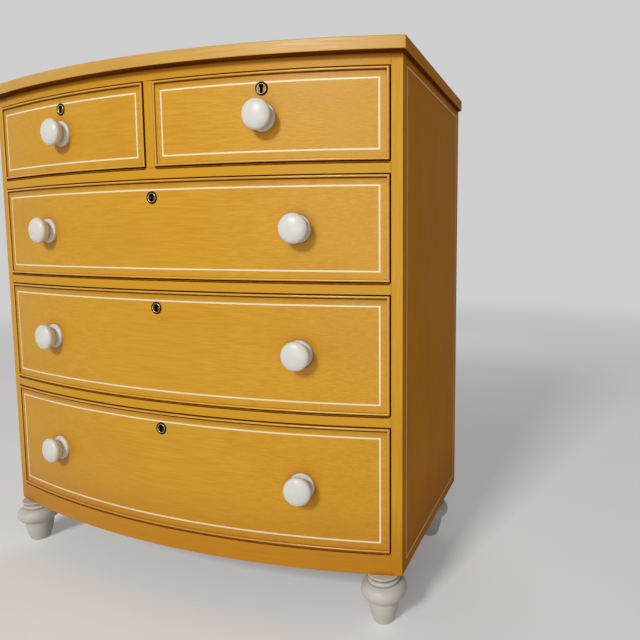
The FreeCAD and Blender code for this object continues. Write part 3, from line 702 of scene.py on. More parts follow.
def shade_paint():
    """Painted shade: ochre darkened nearly to glaze brown, for the underside of the top and for faces in the
    gaps.
    """
    paint = Finish("shade_paint", 0.5, 0.05)
    shades = colours()
    cloud = paint.noise(paint.grain(6.0, 60.0), detail=3.0)
    base = paint.mix(paint.spread(cloud, 0.3, 0.7, 0.86, 0.99), shades.ochre_deep, shades.glaze)
    return paint.done(base, paint.spread(cloud, 0.3, 0.7, 0.42, 0.58), paint.bump(cloud, 0.0002, 0.4))


def groove_glaze():
    """Painted shadow along the beads and rails, flat, dark and brown as glaze."""
    paint = Finish("groove_glaze", 0.6, 0.03)
    shades = colours()
    patchy = paint.noise(paint.object_place(), 60.0, 3.0, 0.6)
    base = paint.mix(paint.spread(patchy, 0.35, 0.75, 0.02, 0.22), shades.glaze, shades.ochre_deep)
    return paint.done(base, paint.spread(patchy, 0.3, 0.7, 0.5, 0.7), paint.bump(patchy, 0.00005, 0.4))


def bore_grime():
    """Painted shade: black inside the keyholes, mottled with paler dust."""
    paint = Finish("bore_grime", 0.8, 0.02)
    patchy = paint.noise(paint.object_place(), 300.0, 2.0)
    base = paint.mix(paint.spread(patchy, 0.3, 0.7), colours().bore, colours().bore_dust)
    return paint.done(base, normal=paint.bump(patchy, 0.0001, 0.4))


def foot_dirt_and_shade(paint, hollow, cloud):
    """How dark a foot is made in its corners from the bulb up to the collar, as painted shade, and along the
    groove of its neck, as dirt and painted shade.
    """
    bulb_plain, bulb_darkened = 0.0660, 0.0760
    collar_darkened, collar_plain = 0.0905, 0.0925
    groove_height = 0.0882
    height = paint.parts(paint.object_place())[2]
    above_bulb = paint.spread(height, bulb_plain, bulb_darkened)
    below_collar = paint.spread(height, collar_darkened, collar_plain, 1.0, 0.0)
    corners = paint.maths("MULTIPLY", hollow, paint.maths("MULTIPLY", above_bulb, below_collar))
    from_groove = paint.maths("ABSOLUTE", paint.maths("SUBTRACT", height, groove_height))
    groove = paint.spread(from_groove, 0.0006, 0.0028, 0.75, 0.0)
    groove = paint.maths("MULTIPLY", groove, paint.spread(cloud, 0.35, 0.65, 0.45, 1.0))
    return groove, paint.spread(corners, 0.30, 0.75, 0.0, 0.80)


def cream_paint(name="cream_paint", gloss=0.4, worn=0.0):
    """Glossy cream paint on turned wood, with painted shade in its hollows. worn darkens it all over as
    painted shade and instead puts dirt and painted shade in the grooves and corners of a foot.
    """
    paint = Finish(name, 0.35, gloss)
    shades = colours()
    place = paint.object_place()
    cloud = paint.noise(place, 22.0, 3.0)
    speck = paint.noise(place, 900.0, 2.0)
    rings = paint.noise(place, 160.0, 2.0)
    # With worn, the whole foot is darkened: painted shade.
    base = paint.mix(paint.spread(cloud, 0.4, 0.8, worn, worn + 0.10), shades.cream, shades.cream_shade)
    hollow = paint.hollows(0.012)
    if worn:
        for amount in foot_dirt_and_shade(paint, hollow, cloud):
            base = paint.mix(amount, base, shades.grime)
    else:
        # Painted shade in a knob's hollow between head and flange.
        base = paint.mix(paint.spread(hollow, 0.25, 0.85, 0.0, 0.35), base, shades.cream_shade)
    rough = paint.spread(cloud, 0.3, 0.7, 0.25, 0.37)
    relief = paint.bump(rings, 0.0002, 0.18)
    relief = paint.bump(speck, 0.00005, 0.2, relief)
    return paint.done(base, rough, relief)


def line_paint(name="line_paint", gloss=0.4, body=None):
    """Thin cream line painted by hand, a little worn."""
    paint = Finish(name, 0.4, gloss)
    shades = colours()
    place = paint.object_place()
    worn = paint.noise(place, 340.0, 4.0, 0.65)
    slow = paint.noise(place, 14.0, 2.0)
    base = paint.mix(paint.spread(worn, 0.60, 0.78, 0.0, 0.55), body or shades.line, shades.ochre_light)
    base = paint.mix(paint.spread(slow, 0.4, 0.8, 0.0, 0.15), base, shades.ochre_light)
    return paint.done(base, paint.spread(worn, 0.3, 0.7, 0.34, 0.48), paint.bump(worn, 0.00006, 0.4))


def bare_wood(name, light, dark, dust_and_shade):
    """Planed softwood cut from the log: growth rings, pores and a tone of its own for each board."""
    wood = Finish(name, 0.6)
    _, wide, thick = wood.parts(wood.stored("grain"))
    across = wood.maths("PINGPONG", wide, 0.17)
    deep = wood.maths("ADD", wood.maths("PINGPONG", thick, 0.06), 0.015)
    squares = [wood.maths("MULTIPLY", value, value) for value in (across, deep)]
    reach = wood.maths("SQRT", wood.maths("ADD", *squares))
    sway = wood.noise(wood.grain(1.6, 7.0), detail=3.0)
    reach = wood.maths("MULTIPLY_ADD", sway, 0.055, reach)
    ring = wood.maths("FRACT", wood.maths("MULTIPLY", reach, 230.0))
    late = wood.maths("MULTIPLY", wood.spread(ring, 0.25, 0.86), wood.spread(ring, 0.90, 1.0, 1.0, 0.0))
    patch = wood.noise(wood.grain(3.0, 24.0), detail=3.0)
    late = wood.maths("MULTIPLY", late, wood.spread(patch, 0.3, 0.7, 0.25, 0.85))
    pores = wood.noise(wood.grain(12.0, 700.0), detail=2.0)
    tone = wood.noise(wood.grain(0.4, 0.5), detail=1.0)
    base = wood.mix(late, light, dark)
    base = wood.mix(wood.spread(pores, 0.52, 0.78, 0.0, 0.30), base, dark)
    base = wood.mix(wood.spread(tone, 0.3, 0.7, 0.0, 0.45), base, dark)
    base = wood.mix(wood.spread(patch, 0.55, 0.8, 0.0, 0.25), base, dark)
    # Dust and painted shade, brown, in the corners.
    base = wood.mix(wood.spread(wood.hollows(0.02), 0.3, 1.0, 0.0, dust_and_shade), base, colours().glaze)
    relief = wood.bump(late, 0.00010, 0.3)
    relief = wood.bump(pores, 0.00008, 0.4, relief)
    return wood.done(base, wood.spread(pores, 0.3, 0.7, 0.55, 0.72), relief)


def metal(name, bright, dull, amount):
    """Old metal, dull in patches and scratched by use."""
    made = Finish(name, 0.35, metallic=1.0)
    place = made.object_place()
    patches = made.noise(place, 240.0, 4.0, 0.6)
    scratches = made.noise(place, 1600.0, 2.0)
    base = made.mix(made.spread(patches, 0.35, 0.7, 0.0, amount), bright, dull)
    base = made.mix(made.spread(made.hollows(0.004), 0.3, 0.9, 0.0, 0.8), base, dull)
    rough = made.spread(patches, 0.3, 0.75, 0.26, 0.5)
    return made.done(base, rough, made.bump(scratches, 0.00003, 0.4))


def plate_brass():
    """Keyhole plate brass: rubbed bright on its inner lip, and dark on its rim."""
    made = Finish("plate_brass", 0.28, metallic=1.0)
    shades = colours()
    place = made.object_place()
    patches = made.noise(place, 800.0, 3.0, 0.6)
    rubbed = made.maths("ADD", made.stored("rubbed", "Fac"), made.maths("MULTIPLY", patches, 0.8))
    bright = made.spread(rubbed, 0.52, 1.20)
    base = made.mix(bright, shades.tarnish, shades.brass)
    return made.done(base, made.spread(patches, 0.3, 0.7, 0.2, 0.42), made.bump(patches, 0.00006, 0.5))


def finish_named(name):
    """A finish, made the first time that it is asked for."""
    shades = colours()
    makers = {
        "ochre_paint": ochre_paint,
        "front_paint": lambda: ochre_paint("front_paint", 0.30, banded=True),
        # The beads take the light ochre as body: a painted highlight.
        "bead_paint": lambda: ochre_paint("bead_paint", 0.6, shades.ochre_light, smooth=0.16, corner_shade=0.5),
        # Painted shade: the right side's redder, darker copy of the ochre.
        "side_paint": lambda: ochre_paint("side_paint", 0.01, shades.ochre_side),
        # Painted sheen: the top's paler copy of the ochre.
        "top_paint": lambda: ochre_paint("top_paint", 0.5, shades.ochre_top),
        "shade_paint": shade_paint,
        # The feet: cream darkened all over as painted shade, with dirt and painted shade in the grooves.
        "foot_paint": lambda: cream_paint("foot_paint", 0.25, worn=0.42),
        "cream_paint": cream_paint,
        "line_paint": line_paint,
        # Painted warm light: the right side's warmer, brighter line.
        "side_line_paint": lambda: line_paint("side_line_paint", 0.02, shades.line_side),
        "groove_glaze": groove_glaze,
        "bore_grime": bore_grime,
        "plate_brass": plate_brass,
        "drawer_pine": lambda: bare_wood("drawer_pine", shades.pine, shades.pine_dark, 0.45),
        "bare_pine": lambda: bare_wood("bare_pine", shades.old_pine, shades.old_pine_dark, 0.6),
        "lock_brass": lambda: metal("lock_brass", shades.brass, shades.tarnish, 0.55),
        "steel": lambda: metal("steel", shades.steel, shades.tarnish, 0.35),
        "nail_iron": lambda: metal("nail_iron", shades.tarnish, shades.glaze, 0.6),
    }
    return bpy.data.materials.get(FINISH_PREFIX + name) or makers[name]()


# ---- boards --------------------------------------------------------------------------------------

def bow_piece(name, low, high, softening, cuts, straight_from, corner=0.0, finish="ochre_paint"):
    """Painted board whose front follows the bow. Y counts back from the bow, or from the front corners."""
    piece = new_piece(name, block(low, high, softening, cuts, corner))
    lay_grain(piece, "X", name)
    wrap(piece, finish, straight_from)
    return piece


def paint_faces(piece, finish, wanted):
    """Give another finish to the faces that are wanted."""
    piece.data.materials.append(finish_named(finish))
    for face in piece.data.polygons:
        if wanted(face):
            face.material_index = len(piece.data.materials) - 1


def make_top():
    """The overhanging top."""
    low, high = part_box("top_board")
    size = sizes()
    depth = BACK_Y - corner_y()
    top = bow_piece("top", (low.x, -size.top_overhang, low.z), (high.x, depth, high.z), size.top_softening,
                    BOW_CUTS, depth / 2, size.top_corner, "top_paint")
    # Painted shade on the underside of the top.
    paint_faces(top, "shade_paint", lambda face: face.normal.z < -FACING)
    # Painted shade on the top's right end, as on the right side.
    paint_faces(top, "side_paint", lambda face: face.normal.x > FACING)
    dress(top, CARCASS, "ochre_paint", "top_board")


def cut_mortise(piece, drawer):
    """Cut the mortise that a drawer's bolt rises into, and leave its walls bare."""
    low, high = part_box(drawer + "_lock_bolt")
    room = Vector((BOLT_ROOM, BOLT_ROOM, 0.0))
    start = Vector((low.x, low.y, high.z)) - room
    end = high + room + Vector((0.0, 0.0, BOLT_TRAVEL + BOLT_ROOM))
    cutter = new_piece("mortise", block(start, end, 0.0))
    modifier = piece.modifiers.new("mortise", "BOOLEAN")
    modifier.operation = "DIFFERENCE"
    modifier.solver = "EXACT"
    modifier.object = cutter
    settle(piece)
    bpy.data.objects.remove(cutter)

    def in_mortise(face):
        return all(a < value < b for a, value, b in zip(start - room, face.center, end + room))

    paint_faces(piece, "bare_pine", in_mortise)


def make_rail(node):
    """A front rail between the sides, with a mortise for each bolt that rises into it."""
    low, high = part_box(node)
    side_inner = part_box("right_side")[0].x
    depth = high.y - corner_y()
    piece = bow_piece(node + "_face", (-side_inner, 0.0, low.z), (side_inner, depth, high.z),
                      sizes().board_softening, RAIL_CUTS, depth / 2)
    # Painted shade on the rail's upper and lower faces, in the gaps round the drawers.
    paint_faces(piece, "shade_paint", lambda face: abs(face.normal.z) > FACING)
    for drawer in LOCKED_INTO.get(node, ()):
        cut_mortise(piece, drawer)
    even_normals(piece)
    dress(piece, CARCASS, "ochre_paint", node)


def make_divider():
    """The upright between the short drawers, with its grain upright."""
    low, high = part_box("centre_divider")
    depth = high.y - corner_y()
    shape = block((low.x, 0.0, low.z), (high.x, depth, high.z), sizes().board_softening, 2)
    piece = new_piece("divider", shape)
    lay_grain(piece, "Z", "divider")
    wrap(piece, "ochre_paint", depth / 2)
    dress(piece, CARCASS, "ochre_paint", "centre_divider")


def make_side(node, way):
    """A side board, with its front edge to the bow and a rebate for the back. way is 1 right and -1 left."""
    low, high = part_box(node)
    inner, outer = (low.x, high.x) if way > 0 else (-high.x, -low.x)
    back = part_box("back_boards")
    outline = [(inner, on_bow(inner)), (outer, on_bow(outer)), (outer, high.y), (back[1].x, high.y),
               (back[1].x, back[0].y), (inner, back[0].y)]
    board = bmesh.new()
    loop = [board.verts.new((way * x, y, low.z)) for x, y in outline]
    floor = board.faces.new(loop)
    risen = bmesh.ops.extrude_face_region(board, geom=[floor])
    for item in risen["geom"]:
        if isinstance(item, bmesh.types.BMVert):
            item.co.z = high.z
    bmesh.ops.recalc_face_normals(board, faces=board.faces)
    round_edges(board, board.edges[:], sizes().board_softening)
    piece = new_piece(node + "_panel", board, "ochre_paint")
    front_edge = -0.5
    # The right side, all but its front edge, takes painted shade: a redder, darker paint.
    if way > 0:
        paint_faces(piece, "side_paint", lambda face: face.normal.y > front_edge)
    lay_grain(piece, "Z", node)
    even_normals(piece)
    dress(piece, CARCASS, "ochre_paint", node)


class CHEST_OT_carcass_boards(bpy.types.Operator):
    """Build the painted top, sides, rails and divider"""
    bl_idname = "chest.carcass_boards"
    bl_label = "Carcass Boards"

    def execute(self, context):
        make_top()
        for node in RAILS:
            make_rail(node)
        make_divider()
        make_side("right_side", 1)
        make_side("left_side", -1)
        return {"FINISHED"}


# ---- bare wood from the frame's own shapes -------------------------------------------------------

def islands(shape):
    """Groups of connected vertices."""
    left = set(shape.verts)
    groups = []
    while left:
        front = [left.pop()]
        group = list(front)
        while front:
            vertex = front.pop()
            near = [edge.other_vert(vertex) for edge in vertex.link_edges]
            fresh = [other for other in near if other in left]
            left.difference_update(fresh)
            front += fresh
            group += fresh
        groups.append(group)
    return groups


def merged_copy(node):
    """Bmesh copy of a CAD node with its loose triangles joined up."""
    shape = bmesh.new()
    shape.from_mesh(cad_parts[node].data)
    bmesh.ops.remove_doubles(shape, verts=shape.verts, dist=MERGE_DISTANCE)
    bmesh.ops.dissolve_degenerate(shape, edges=shape.edges, dist=MERGE_DISTANCE)
    return shape


def grain_by_board(shape, seed):
    """Store each board's own grain, along its longest side, on a bmesh."""
    layer = shape.verts.layers.float_vector.new("grain")
    draw = random.Random(seed)
    groups = islands(shape)
    groups.sort(key=lambda group: sum((vertex.co for vertex in group), Vector()).to_tuple(4))
    for group in groups:
        spans = [max(vertex.co[axis] for vertex in group) - min(vertex.co[axis] for vertex in group)
                 for axis in range(3)]
        longest = spans.index(max(spans))
        order = [longest] + [axis for axis in range(3) if axis != longest]
        start = [draw.uniform(0, GRAIN_START) for _ in order]
        for vertex in group:
            vertex[layer] = [vertex.co[axis] + shift for axis, shift in zip(order, start)]


def wooden_copy(node, name, finish, seed):
    """Board or boards with the frame's shape, flat faces and a grain of their own."""
    shape = merged_copy(node)
    grain_by_board(shape, seed)
    return new_piece(name, shape, finish)


# The back's boards, where the nails stand across each of them and how far they stray from there
BACK_BOARDS = 5
NAIL_SHARES = (0.12, 0.88)
NAIL_STRAY_X = 0.004
NAIL_STRAY_Z = 0.003
NAIL_SEED = 7


def make_back():
    """Upright back boards, nailed near their edges at every level."""
    back = wooden_copy("back_boards", "back_planks", "bare_pine", "back")
    dress(back, CARCASS, "bare_pine", "back_boards")
    low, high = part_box("back_boards")
    size = sizes()
    pitch = (high.x - low.x) / BACK_BOARDS
    levels = [(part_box(node)[0].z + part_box(node)[1].z) / 2 for node in RAILS]
    points = bmesh.new()
    draw = random.Random("nails")
    y = high.y + size.nail_proud - size.nail_thickness
    for number in range(BACK_BOARDS):
        for share in NAIL_SHARES:
            for level in levels:
                x = low.x + (number + share) * pitch + draw.uniform(-NAIL_STRAY_X, NAIL_STRAY_X)
                points.verts.new((x, y, level + draw.uniform(-NAIL_STRAY_Z, NAIL_STRAY_Z)))
    nails = new_piece("back_nails", points)
    run_tree(nails, tree_named("nail_heads", nail_tree), diameter=size.nail_diameter,
             height=size.nail_thickness, seed=NAIL_SEED, finish=finish_named("nail_iron"))
    dress(nails, CARCASS, "steel")


class CHEST_OT_bare_boards(bpy.types.Operator):
    """Build the bare boards of the back and the inside of the carcass"""
    bl_idname = "chest.bare_boards"
    bl_label = "Bare Boards"

    def execute(self, context):
        make_back()
        for node in HIDDEN_BOARDS:
            piece = wooden_copy(node, node + "_wood", "bare_pine", node)
            dress(piece, CARCASS, "bare_pine", node)
        return {"FINISHED"}


# ---- drawers -------------------------------------------------------------------------------------

def is_on_bow(point, inset):
    """Whether a point lies on the bowed face moved in by inset."""
    return abs(math.hypot(point.x, point.y - bow_centre()) - (bow_radius() - inset)) < ON_FACE


def make_front(drawer):
    """Drawer front: paint on its bowed face, painted shade in its keyhole, bare wood elsewhere, with true
    normals on the curved faces.
    """
    shape = merged_copy(drawer + "_front")
    grain_by_board(shape, drawer)
    piece = new_piece(drawer + "_face", shape)
    mesh = piece.data
    for finish in ("front_paint", "drawer_pine", "bore_grime"):
        mesh.materials.append(finish_named(finish))
    low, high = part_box(drawer + "_front")
    keyhole = sum(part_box(drawer + "_escutcheon"), Vector()) / 2
    for name, corner, way in (("from_low", low, 1.0), ("to_high", high, -1.0)):
        attribute = mesh.attributes.new(name, "FLOAT_VECTOR", "POINT")
        for vertex, value in zip(mesh.vertices, attribute.data):
            value.vector = way * (vertex.co - corner)
    thickness = sizes().front_thickness
    normals = [None] * len(mesh.loops)
    for face in mesh.polygons:
        places = [mesh.vertices[index].co for index in face.vertices]
        upright = abs(face.normal.z) < 0.1
        painted = upright and all(is_on_bow(place, 0.0) for place in places)
        behind = upright and all(is_on_bow(place, thickness) for place in places)
        away = math.hypot(face.center.x - keyhole.x, face.center.z - keyhole.z)
        in_keyhole = away < sizes().plate_diameter / 2
        # Faces in the keyhole take black painted shade.
        face.material_index = 0 if painted else (2 if in_keyhole and not behind else 1)
        face.use_smooth = painted or behind
        for index, place in zip(face.loop_indices, places):
            outward = Vector((place.x, place.y - bow_centre(), 0.0)).normalized()
            normals[index] = outward if painted else (-outward if behind else face.normal.copy())
    mesh.normals_split_custom_set(normals)
    dress(piece, drawer, "ochre_paint", drawer + "_front")


def bead_profile():
    """Bead section as (inset, Y) points: square behind, half round before."""
    size = sizes()
    half = size.bead_width / 2
    nose_y = half - size.bead_proud
    steps = 10
    turns = [math.pi * number / steps for number in range(steps + 1)]
    nose = [(half - half * math.cos(turn), nose_y - half * math.sin(turn)) for turn in turns]
    return [(0.0, size.bead_depth)] + nose + [(size.bead_width, size.bead_depth)]


def make_bead(drawer):
    """Half round bead mitred round a drawer front, with painted shade on its outer faces at its two ends and
    underneath, in the gaps.
    """
    low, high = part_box(drawer + "_front")
    shape = outline_frame((low.x, low.z), (high.x, high.z), bead_profile(), BOW_CUTS)
    piece = new_piece(drawer + "_bead", shape)
    lay_frame_grain(piece)
    wrap(piece, "bead_paint")

    def on_edge(face):
        edges = (face.center.x - low.x, high.x - face.center.x, face.center.z - low.z)
        return min(abs(edge) for edge in edges) < EDGE_REACH

    paint_faces(piece, "shade_paint", on_edge)
    dress(piece, drawer, "ochre_paint", drawer + "_cockbead")


def line_frame(low, high, width, cuts):
    """Thin flat line round a rectangle, let a little into what it is painted on."""
    proud, sunk = -sizes().line_height, sizes().line_sink
    return outline_frame(low, high, [(0.0, sunk), (0.0, proud), (width, proud), (width, sunk)], cuts)


def wander(shape):
    """Let a hand-painted line stray a little up and down, slowly and in small quick waves."""
    slow, quick = 22.0, 70.0
    for vertex in shape.verts:
        shift = noise.noise(vertex.co * slow) + 0.5 * noise.noise(vertex.co * quick)
        vertex.co.z += sizes().line_wander * shift


def make_drawer_line(drawer):
    """Line painted round a drawer's face."""
    low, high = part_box(drawer + "_front")
    size = sizes()
    end = size.line_end_inset - size.line_width / 2
    edge = size.line_inset - size.line_width / 2
    shape = line_frame((low.x + end, low.z + edge), (high.x - end, high.z - edge), size.line_width, LINE_CUTS)
    wander(shape)
    piece = new_piece(drawer + "_line", shape)
    wrap(piece, "line_paint")
    dress(piece, drawer, "cream_paint")


def make_shadow_strips(drawer):
    """Strips of painted shadow, brown as glaze, under a drawer's top bead and on the upper edge of the rail
    below it.
    """
    low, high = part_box(drawer + "_front")
    size = sizes()
    inner = size.bead_width - SHADOW_STRIP_LAP
    rail_top = low.z - size.front_gap - size.board_softening
    for name, body, inset, top, cuts in (("_glaze", drawer, inner, high.z - inner, BOW_CUTS),
                                         ("_rail_glaze", CARCASS, 0.0, rail_top, RAIL_CUTS)):
        start = (low.x + inset, -size.line_height, top - size.glaze_width)
        end = (high.x - inset, size.line_sink, top)
        strip = new_piece(drawer + name, block(start, end, SHADOW_STRIP_SOFTENING, cuts))
        wrap(strip, "groove_glaze")
        dress(strip, body, "ochre_paint")


def make_side_line(node, way):
    """Line painted round a side."""
    low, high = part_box(node)
    size = sizes()
    half = size.side_line_width / 2
    front = corner_y() + size.side_line_front - half
    back = high.y - size.side_line_back + half
    shape = line_frame((front, low.z + size.side_line_low - half), (back, high.z - size.side_line_top + half),
                       size.side_line_width, SIDE_LINE_CUTS)
    for vertex in shape.verts:
        depth, out, height = vertex.co
        vertex.co = (way * (HALF_WIDTH - out), depth, height)
    wander(shape)
    bmesh.ops.recalc_face_normals(shape, faces=shape.faces)
    # The right side's line takes the warmer, brighter copy: painted warm light.
    piece = new_piece(node + "_line", shape, "side_line_paint" if way > 0 else "line_paint")
    even_normals(piece)
    dress(piece, CARCASS, "cream_paint")


class CHEST_OT_drawer_fronts(bpy.types.Operator):
    """Build the drawer fronts and the beads round them"""
    bl_idname = "chest.drawer_fronts"
    bl_label = "Drawer Fronts and Beads"

    def execute(self, context):
        for drawer in DRAWERS:
            make_front(drawer)
            make_bead(drawer)
        return {"FINISHED"}


class CHEST_OT_painted_lines(bpy.types.Operator):
    """Build the painted lines on the drawers and sides, and the strips of painted shadow along the beads and
    rails
    """
    bl_idname = "chest.painted_lines"
    bl_label = "Painted Lines and Glaze"

    def execute(self, context):
        for drawer in DRAWERS:
            make_drawer_line(drawer)
            make_shadow_strips(drawer)
        make_side_line("right_side", 1)
        make_side_line("left_side", -1)
        return {"FINISHED"}


class CHEST_OT_drawer_boxes(bpy.types.Operator):
    """Build the dovetailed boxes and the bottoms of the drawers"""
    bl_idname = "chest.drawer_boxes"
    bl_label = "Drawer Boxes"

    def execute(self, context):
        for drawer in DRAWERS:
            for part in ("box", "bottom"):
                node = drawer + "_" + part
                piece = wooden_copy(node, node + "_wood", "drawer_pine", node)
                dress(piece, drawer, "drawer_pine", node)
        return {"FINISHED"}


# ---- knobs, plates and locks ---------------------------------------------------------------------

def knob_profile():
    """Knob section from the tip back to the seat, as (radius, distance from the face) points."""
    size = sizes()
    head, neck, flange = size.knob_head / 2, size.knob_neck / 2, size.knob_flange / 2
    widest = size.knob_length - size.knob_dome
    steps = 16
    turns = [math.pi / 2 * number / steps for number in range(steps + 1)]
    points = [(head * math.sin(turn), widest + size.knob_dome * math.cos(turn)) for turn in turns]
    reach = math.acos(neck / head)
    turns = [reach * number / steps for number in range(1, steps + 1)]
    points += [(head * math.cos(turn), widest - size.knob_back * math.sin(turn)) for turn in turns]
    seat, lip = size.knob_flange_height, size.knob_lip
    cove = size.knob_cove / 2, (points[-1][1] + seat) / 2
    points += arc_points(points[-1], cove, (flange - lip, seat), 8)
    points += arc_points(points[-1], (flange - 0.3 * lip, seat - 0.3 * lip), (flange, seat - lip), 5)
    return points + [(flange, -size.knob_sink), (0.0, -size.knob_sink)]


def make_knobs(drawer):
    """The knobs of one drawer, square to the bow."""
    low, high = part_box(drawer + "_knobs")
    z = (low.z + high.z) / 2
    xs = [-sizes().knob_reach, sizes().knob_reach]
    if drawer in SHORT_DRAWERS:
        xs = [sum(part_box(drawer + "_front"), Vector()).x / 2]

    def place(radius, angle, out):
        return radius * math.cos(angle), on_bow(0.0) - out, z + radius * math.sin(angle)

    piece = new_piece(drawer + "_knob_turnings", turning(knob_profile(), KNOB_STEPS, place))
    carry_round(piece, "cream_paint", xs)
    dress(piece, drawer, "cream_paint", drawer + "_knobs")


def keyhole_point(angle):
    """Point of the keyhole's outline, seen from the eye's middle at an angle from straight down."""
    size = sizes()
    eye, half_slot, reach = size.keyhole_diameter / 2, size.keyhole_slot / 2, size.keyhole_length
    across, down = math.sin(angle), math.cos(angle)
    limit = eye
    if down > 0:
        to_end = reach / down
        to_side = half_slot / abs(across) if across else to_end
        limit = max(eye, min(to_end, to_side))
    return limit * across, -limit * down


def keyhole_angles(end_steps=4, slot_steps=8, eye_steps=24):
    """Angles round the keyhole, close together where the slot is."""
    size = sizes()
    slot_end = math.atan2(size.keyhole_slot / 2, size.keyhole_length)
    slot_top = math.asin(size.keyhole_slot / size.keyhole_diameter)
    half = []
    for start, end, steps in ((0.0, slot_end, end_steps), (slot_end, slot_top, slot_steps),
                              (slot_top, math.pi, eye_steps)):
        half += [start + (end - start) * number / steps for number in range(steps)]
    return half + [math.pi] + [-angle for angle in reversed(half[1:])]


def make_plate(drawer):
    """Round keyhole plate with a bright lip inside a dark raised rim."""
    size = sizes()
    low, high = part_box(drawer + "_escutcheon")
    z = (low.z + high.z) / 2
    rim, lip, tall = size.plate_diameter / 2, size.plate_lip, size.plate_height
    wear = 1.0 if drawer in SHORT_DRAWERS else DULL_PLATE
    keyhole = [keyhole_point(angle) for angle in keyhole_angles()]
    keyhole = [(x, up + size.keyhole_rise) for x, up in keyhole]
    turns = [math.atan2(x, -up) for x, up in keyhole]
    # Rings from the bore outwards: how far past the keyhole's edge, height over the face and how bright
    keyhole_rings = [(0.0, -0.005, 0.0), (0.0, 0.1 * tall, 0.0), (0.00015, 0.42 * tall, 0.15),
                     (0.0003, 0.40 * tall, 0.30)]
    # Then the lip and the rim: radius, share of the plate's height and how bright
    round_rings = [(lip - 0.0007, 0.40, 0.30), (lip - 0.0004, 0.62, 0.9), (lip, 0.72, 1.0),
                   (lip + 0.0004, 0.60, 0.6), (lip + 0.0007, 0.62, 0.0), (lip + 0.0013, 0.92, 0.0),
                   (rim - 0.0012, 1.0, 0.05), (rim - 0.0006, 0.82, 0.0), (rim - 0.0002, 0.50, 0.0),
                   (rim, 0.15, 0.0), (rim, -0.4, 0.0)]
    plate = bmesh.new()
    rubbed = plate.verts.layers.float.new("rubbed")

    def ring(places, out, shine):
        loop = [plate.verts.new((x, on_bow(0.0) - out, z + up)) for x, up in places]
        for vertex in loop:
            vertex[rubbed] = shine * wear
        return loop

    loops = []
    for past, out, shine in keyhole_rings:
        around = [(x + past * math.sin(turn), up - past * math.cos(turn))
                  for (x, up), turn in zip(keyhole, turns)]
        loops.append(ring(around, out, shine))
    for radius, share, shine in round_rings:
        around = [(radius * math.sin(turn), -radius * math.cos(turn)) for turn in turns]
        loops.append(ring(around, share * tall, shine))
    skin(plate, loops + loops[:1])
    piece = new_piece(drawer + "_plate", plate)
    carry_round(piece, "plate_brass", [(low.x + high.x) / 2])
    dress(piece, drawer, "brass", drawer + "_escutcheon")


class CHEST_OT_knobs(bpy.types.Operator):
    """Turn the knobs and seat them on the drawers"""
    bl_idname = "chest.knobs"
    bl_label = "Knobs"

    def execute(self, context):
        for drawer in DRAWERS:
            make_knobs(drawer)
        return {"FINISHED"}


class CHEST_OT_keyhole_plates(bpy.types.Operator):
    """Build the round keyhole plates"""
    bl_idname = "chest.keyhole_plates"
    bl_label = "Keyhole Plates"

    def execute(self, context):
        for drawer in DRAWERS:
            make_plate(drawer)
        return {"FINISHED"}


class CHEST_OT_locks(bpy.types.Operator):
    """Give the lock cases and bolts their metal"""
    bl_idname = "chest.locks"
    bl_label = "Locks"

    def execute(self, context):
        for drawer in DRAWERS:
            for part, finish in (("lock_case", "lock_brass"), ("lock_bolt", "steel")):
                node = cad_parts[drawer + "_" + part]
                for slot in node.material_slots:
                    slot.material = finish_named(finish)
        return {"FINISHED"}


# ---- feet ----------------------------------------------------------------------------------------

# How far in from a square corner the middle of its rounding lies, as a share of the radius
ROUNDED_OFF = 1 - math.sqrt(0.5)

# Points of a foot's outline from the top down, as (radius, height)
FOOT_COLLAR = (0.0315, 0.0935)
FOOT_COLLAR_HOLLOW = (0.0283, 0.09075)
FOOT_NECK = (0.0276, 0.0880)
FOOT_RING = (0.0300, 0.08325)
FOOT_ROOT = (0.0282, 0.0785)
FOOT_BULB = (0.0420, 0.0634)
FOOT_BULB_END = (0.0322, 0.0483)
FOOT_BLEND = (0.0297, 0.0455)
FOOT_ANKLE_TOP = (0.0283, 0.0418)
FOOT_ANKLE_MIDDLE = (0.0257, 0.0244)
FOOT_BASE = (0.0204, 0.0070)


def foot_profile(height):
    """Foot section from the top down, as (radius, height) points."""
    radius = FOOT_COLLAR[0]
    edge = height - FOOT_COLLAR[1]
    middle = edge * ROUNDED_OFF
    base, rounding = FOOT_BASE
    corner = rounding * ROUNDED_OFF
    points = [(0.0, height), (radius - edge, height)]
    for through, end, steps in (((radius - middle, height - middle), FOOT_COLLAR, 5),
                                (FOOT_COLLAR_HOLLOW, FOOT_NECK, 8),
                                (FOOT_RING, FOOT_ROOT, 12),
                                (FOOT_BULB, FOOT_BULB_END, 28),
                                (FOOT_BLEND, FOOT_ANKLE_TOP, 6),
                                (FOOT_ANKLE_MIDDLE, FOOT_BASE, 12),
                                ((base - corner, corner), (base - rounding, 0.0), 8)):
        points += arc_points(points[-1], through, end, steps)
        points[-1] = end
    return points + [(0.0, 0.0)]


def make_foot(node):
    """One turned foot."""
    low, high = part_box(node)
    x, y = (low.x + high.x) / 2, (low.y + high.y) / 2
    profile = foot_profile(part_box("bottom_rail")[0].z)

    def place(radius, angle, z):
        return x + radius * math.cos(angle), y + radius * math.sin(angle), z

    piece = new_piece(node + "_turning", turning(profile, FOOT_STEPS, place), "foot_paint")
    even_normals(piece)
    dress(piece, CARCASS, "cream_paint", node)


class CHEST_OT_feet(bpy.types.Operator):
    """Turn the four feet"""
    bl_idname = "chest.feet"
    bl_label = "Feet"

    def execute(self, context):
        for node in FEET:
            make_foot(node)
        return {"FINISHED"}


# ---- stage ---------------------------------------------------------------------------------------

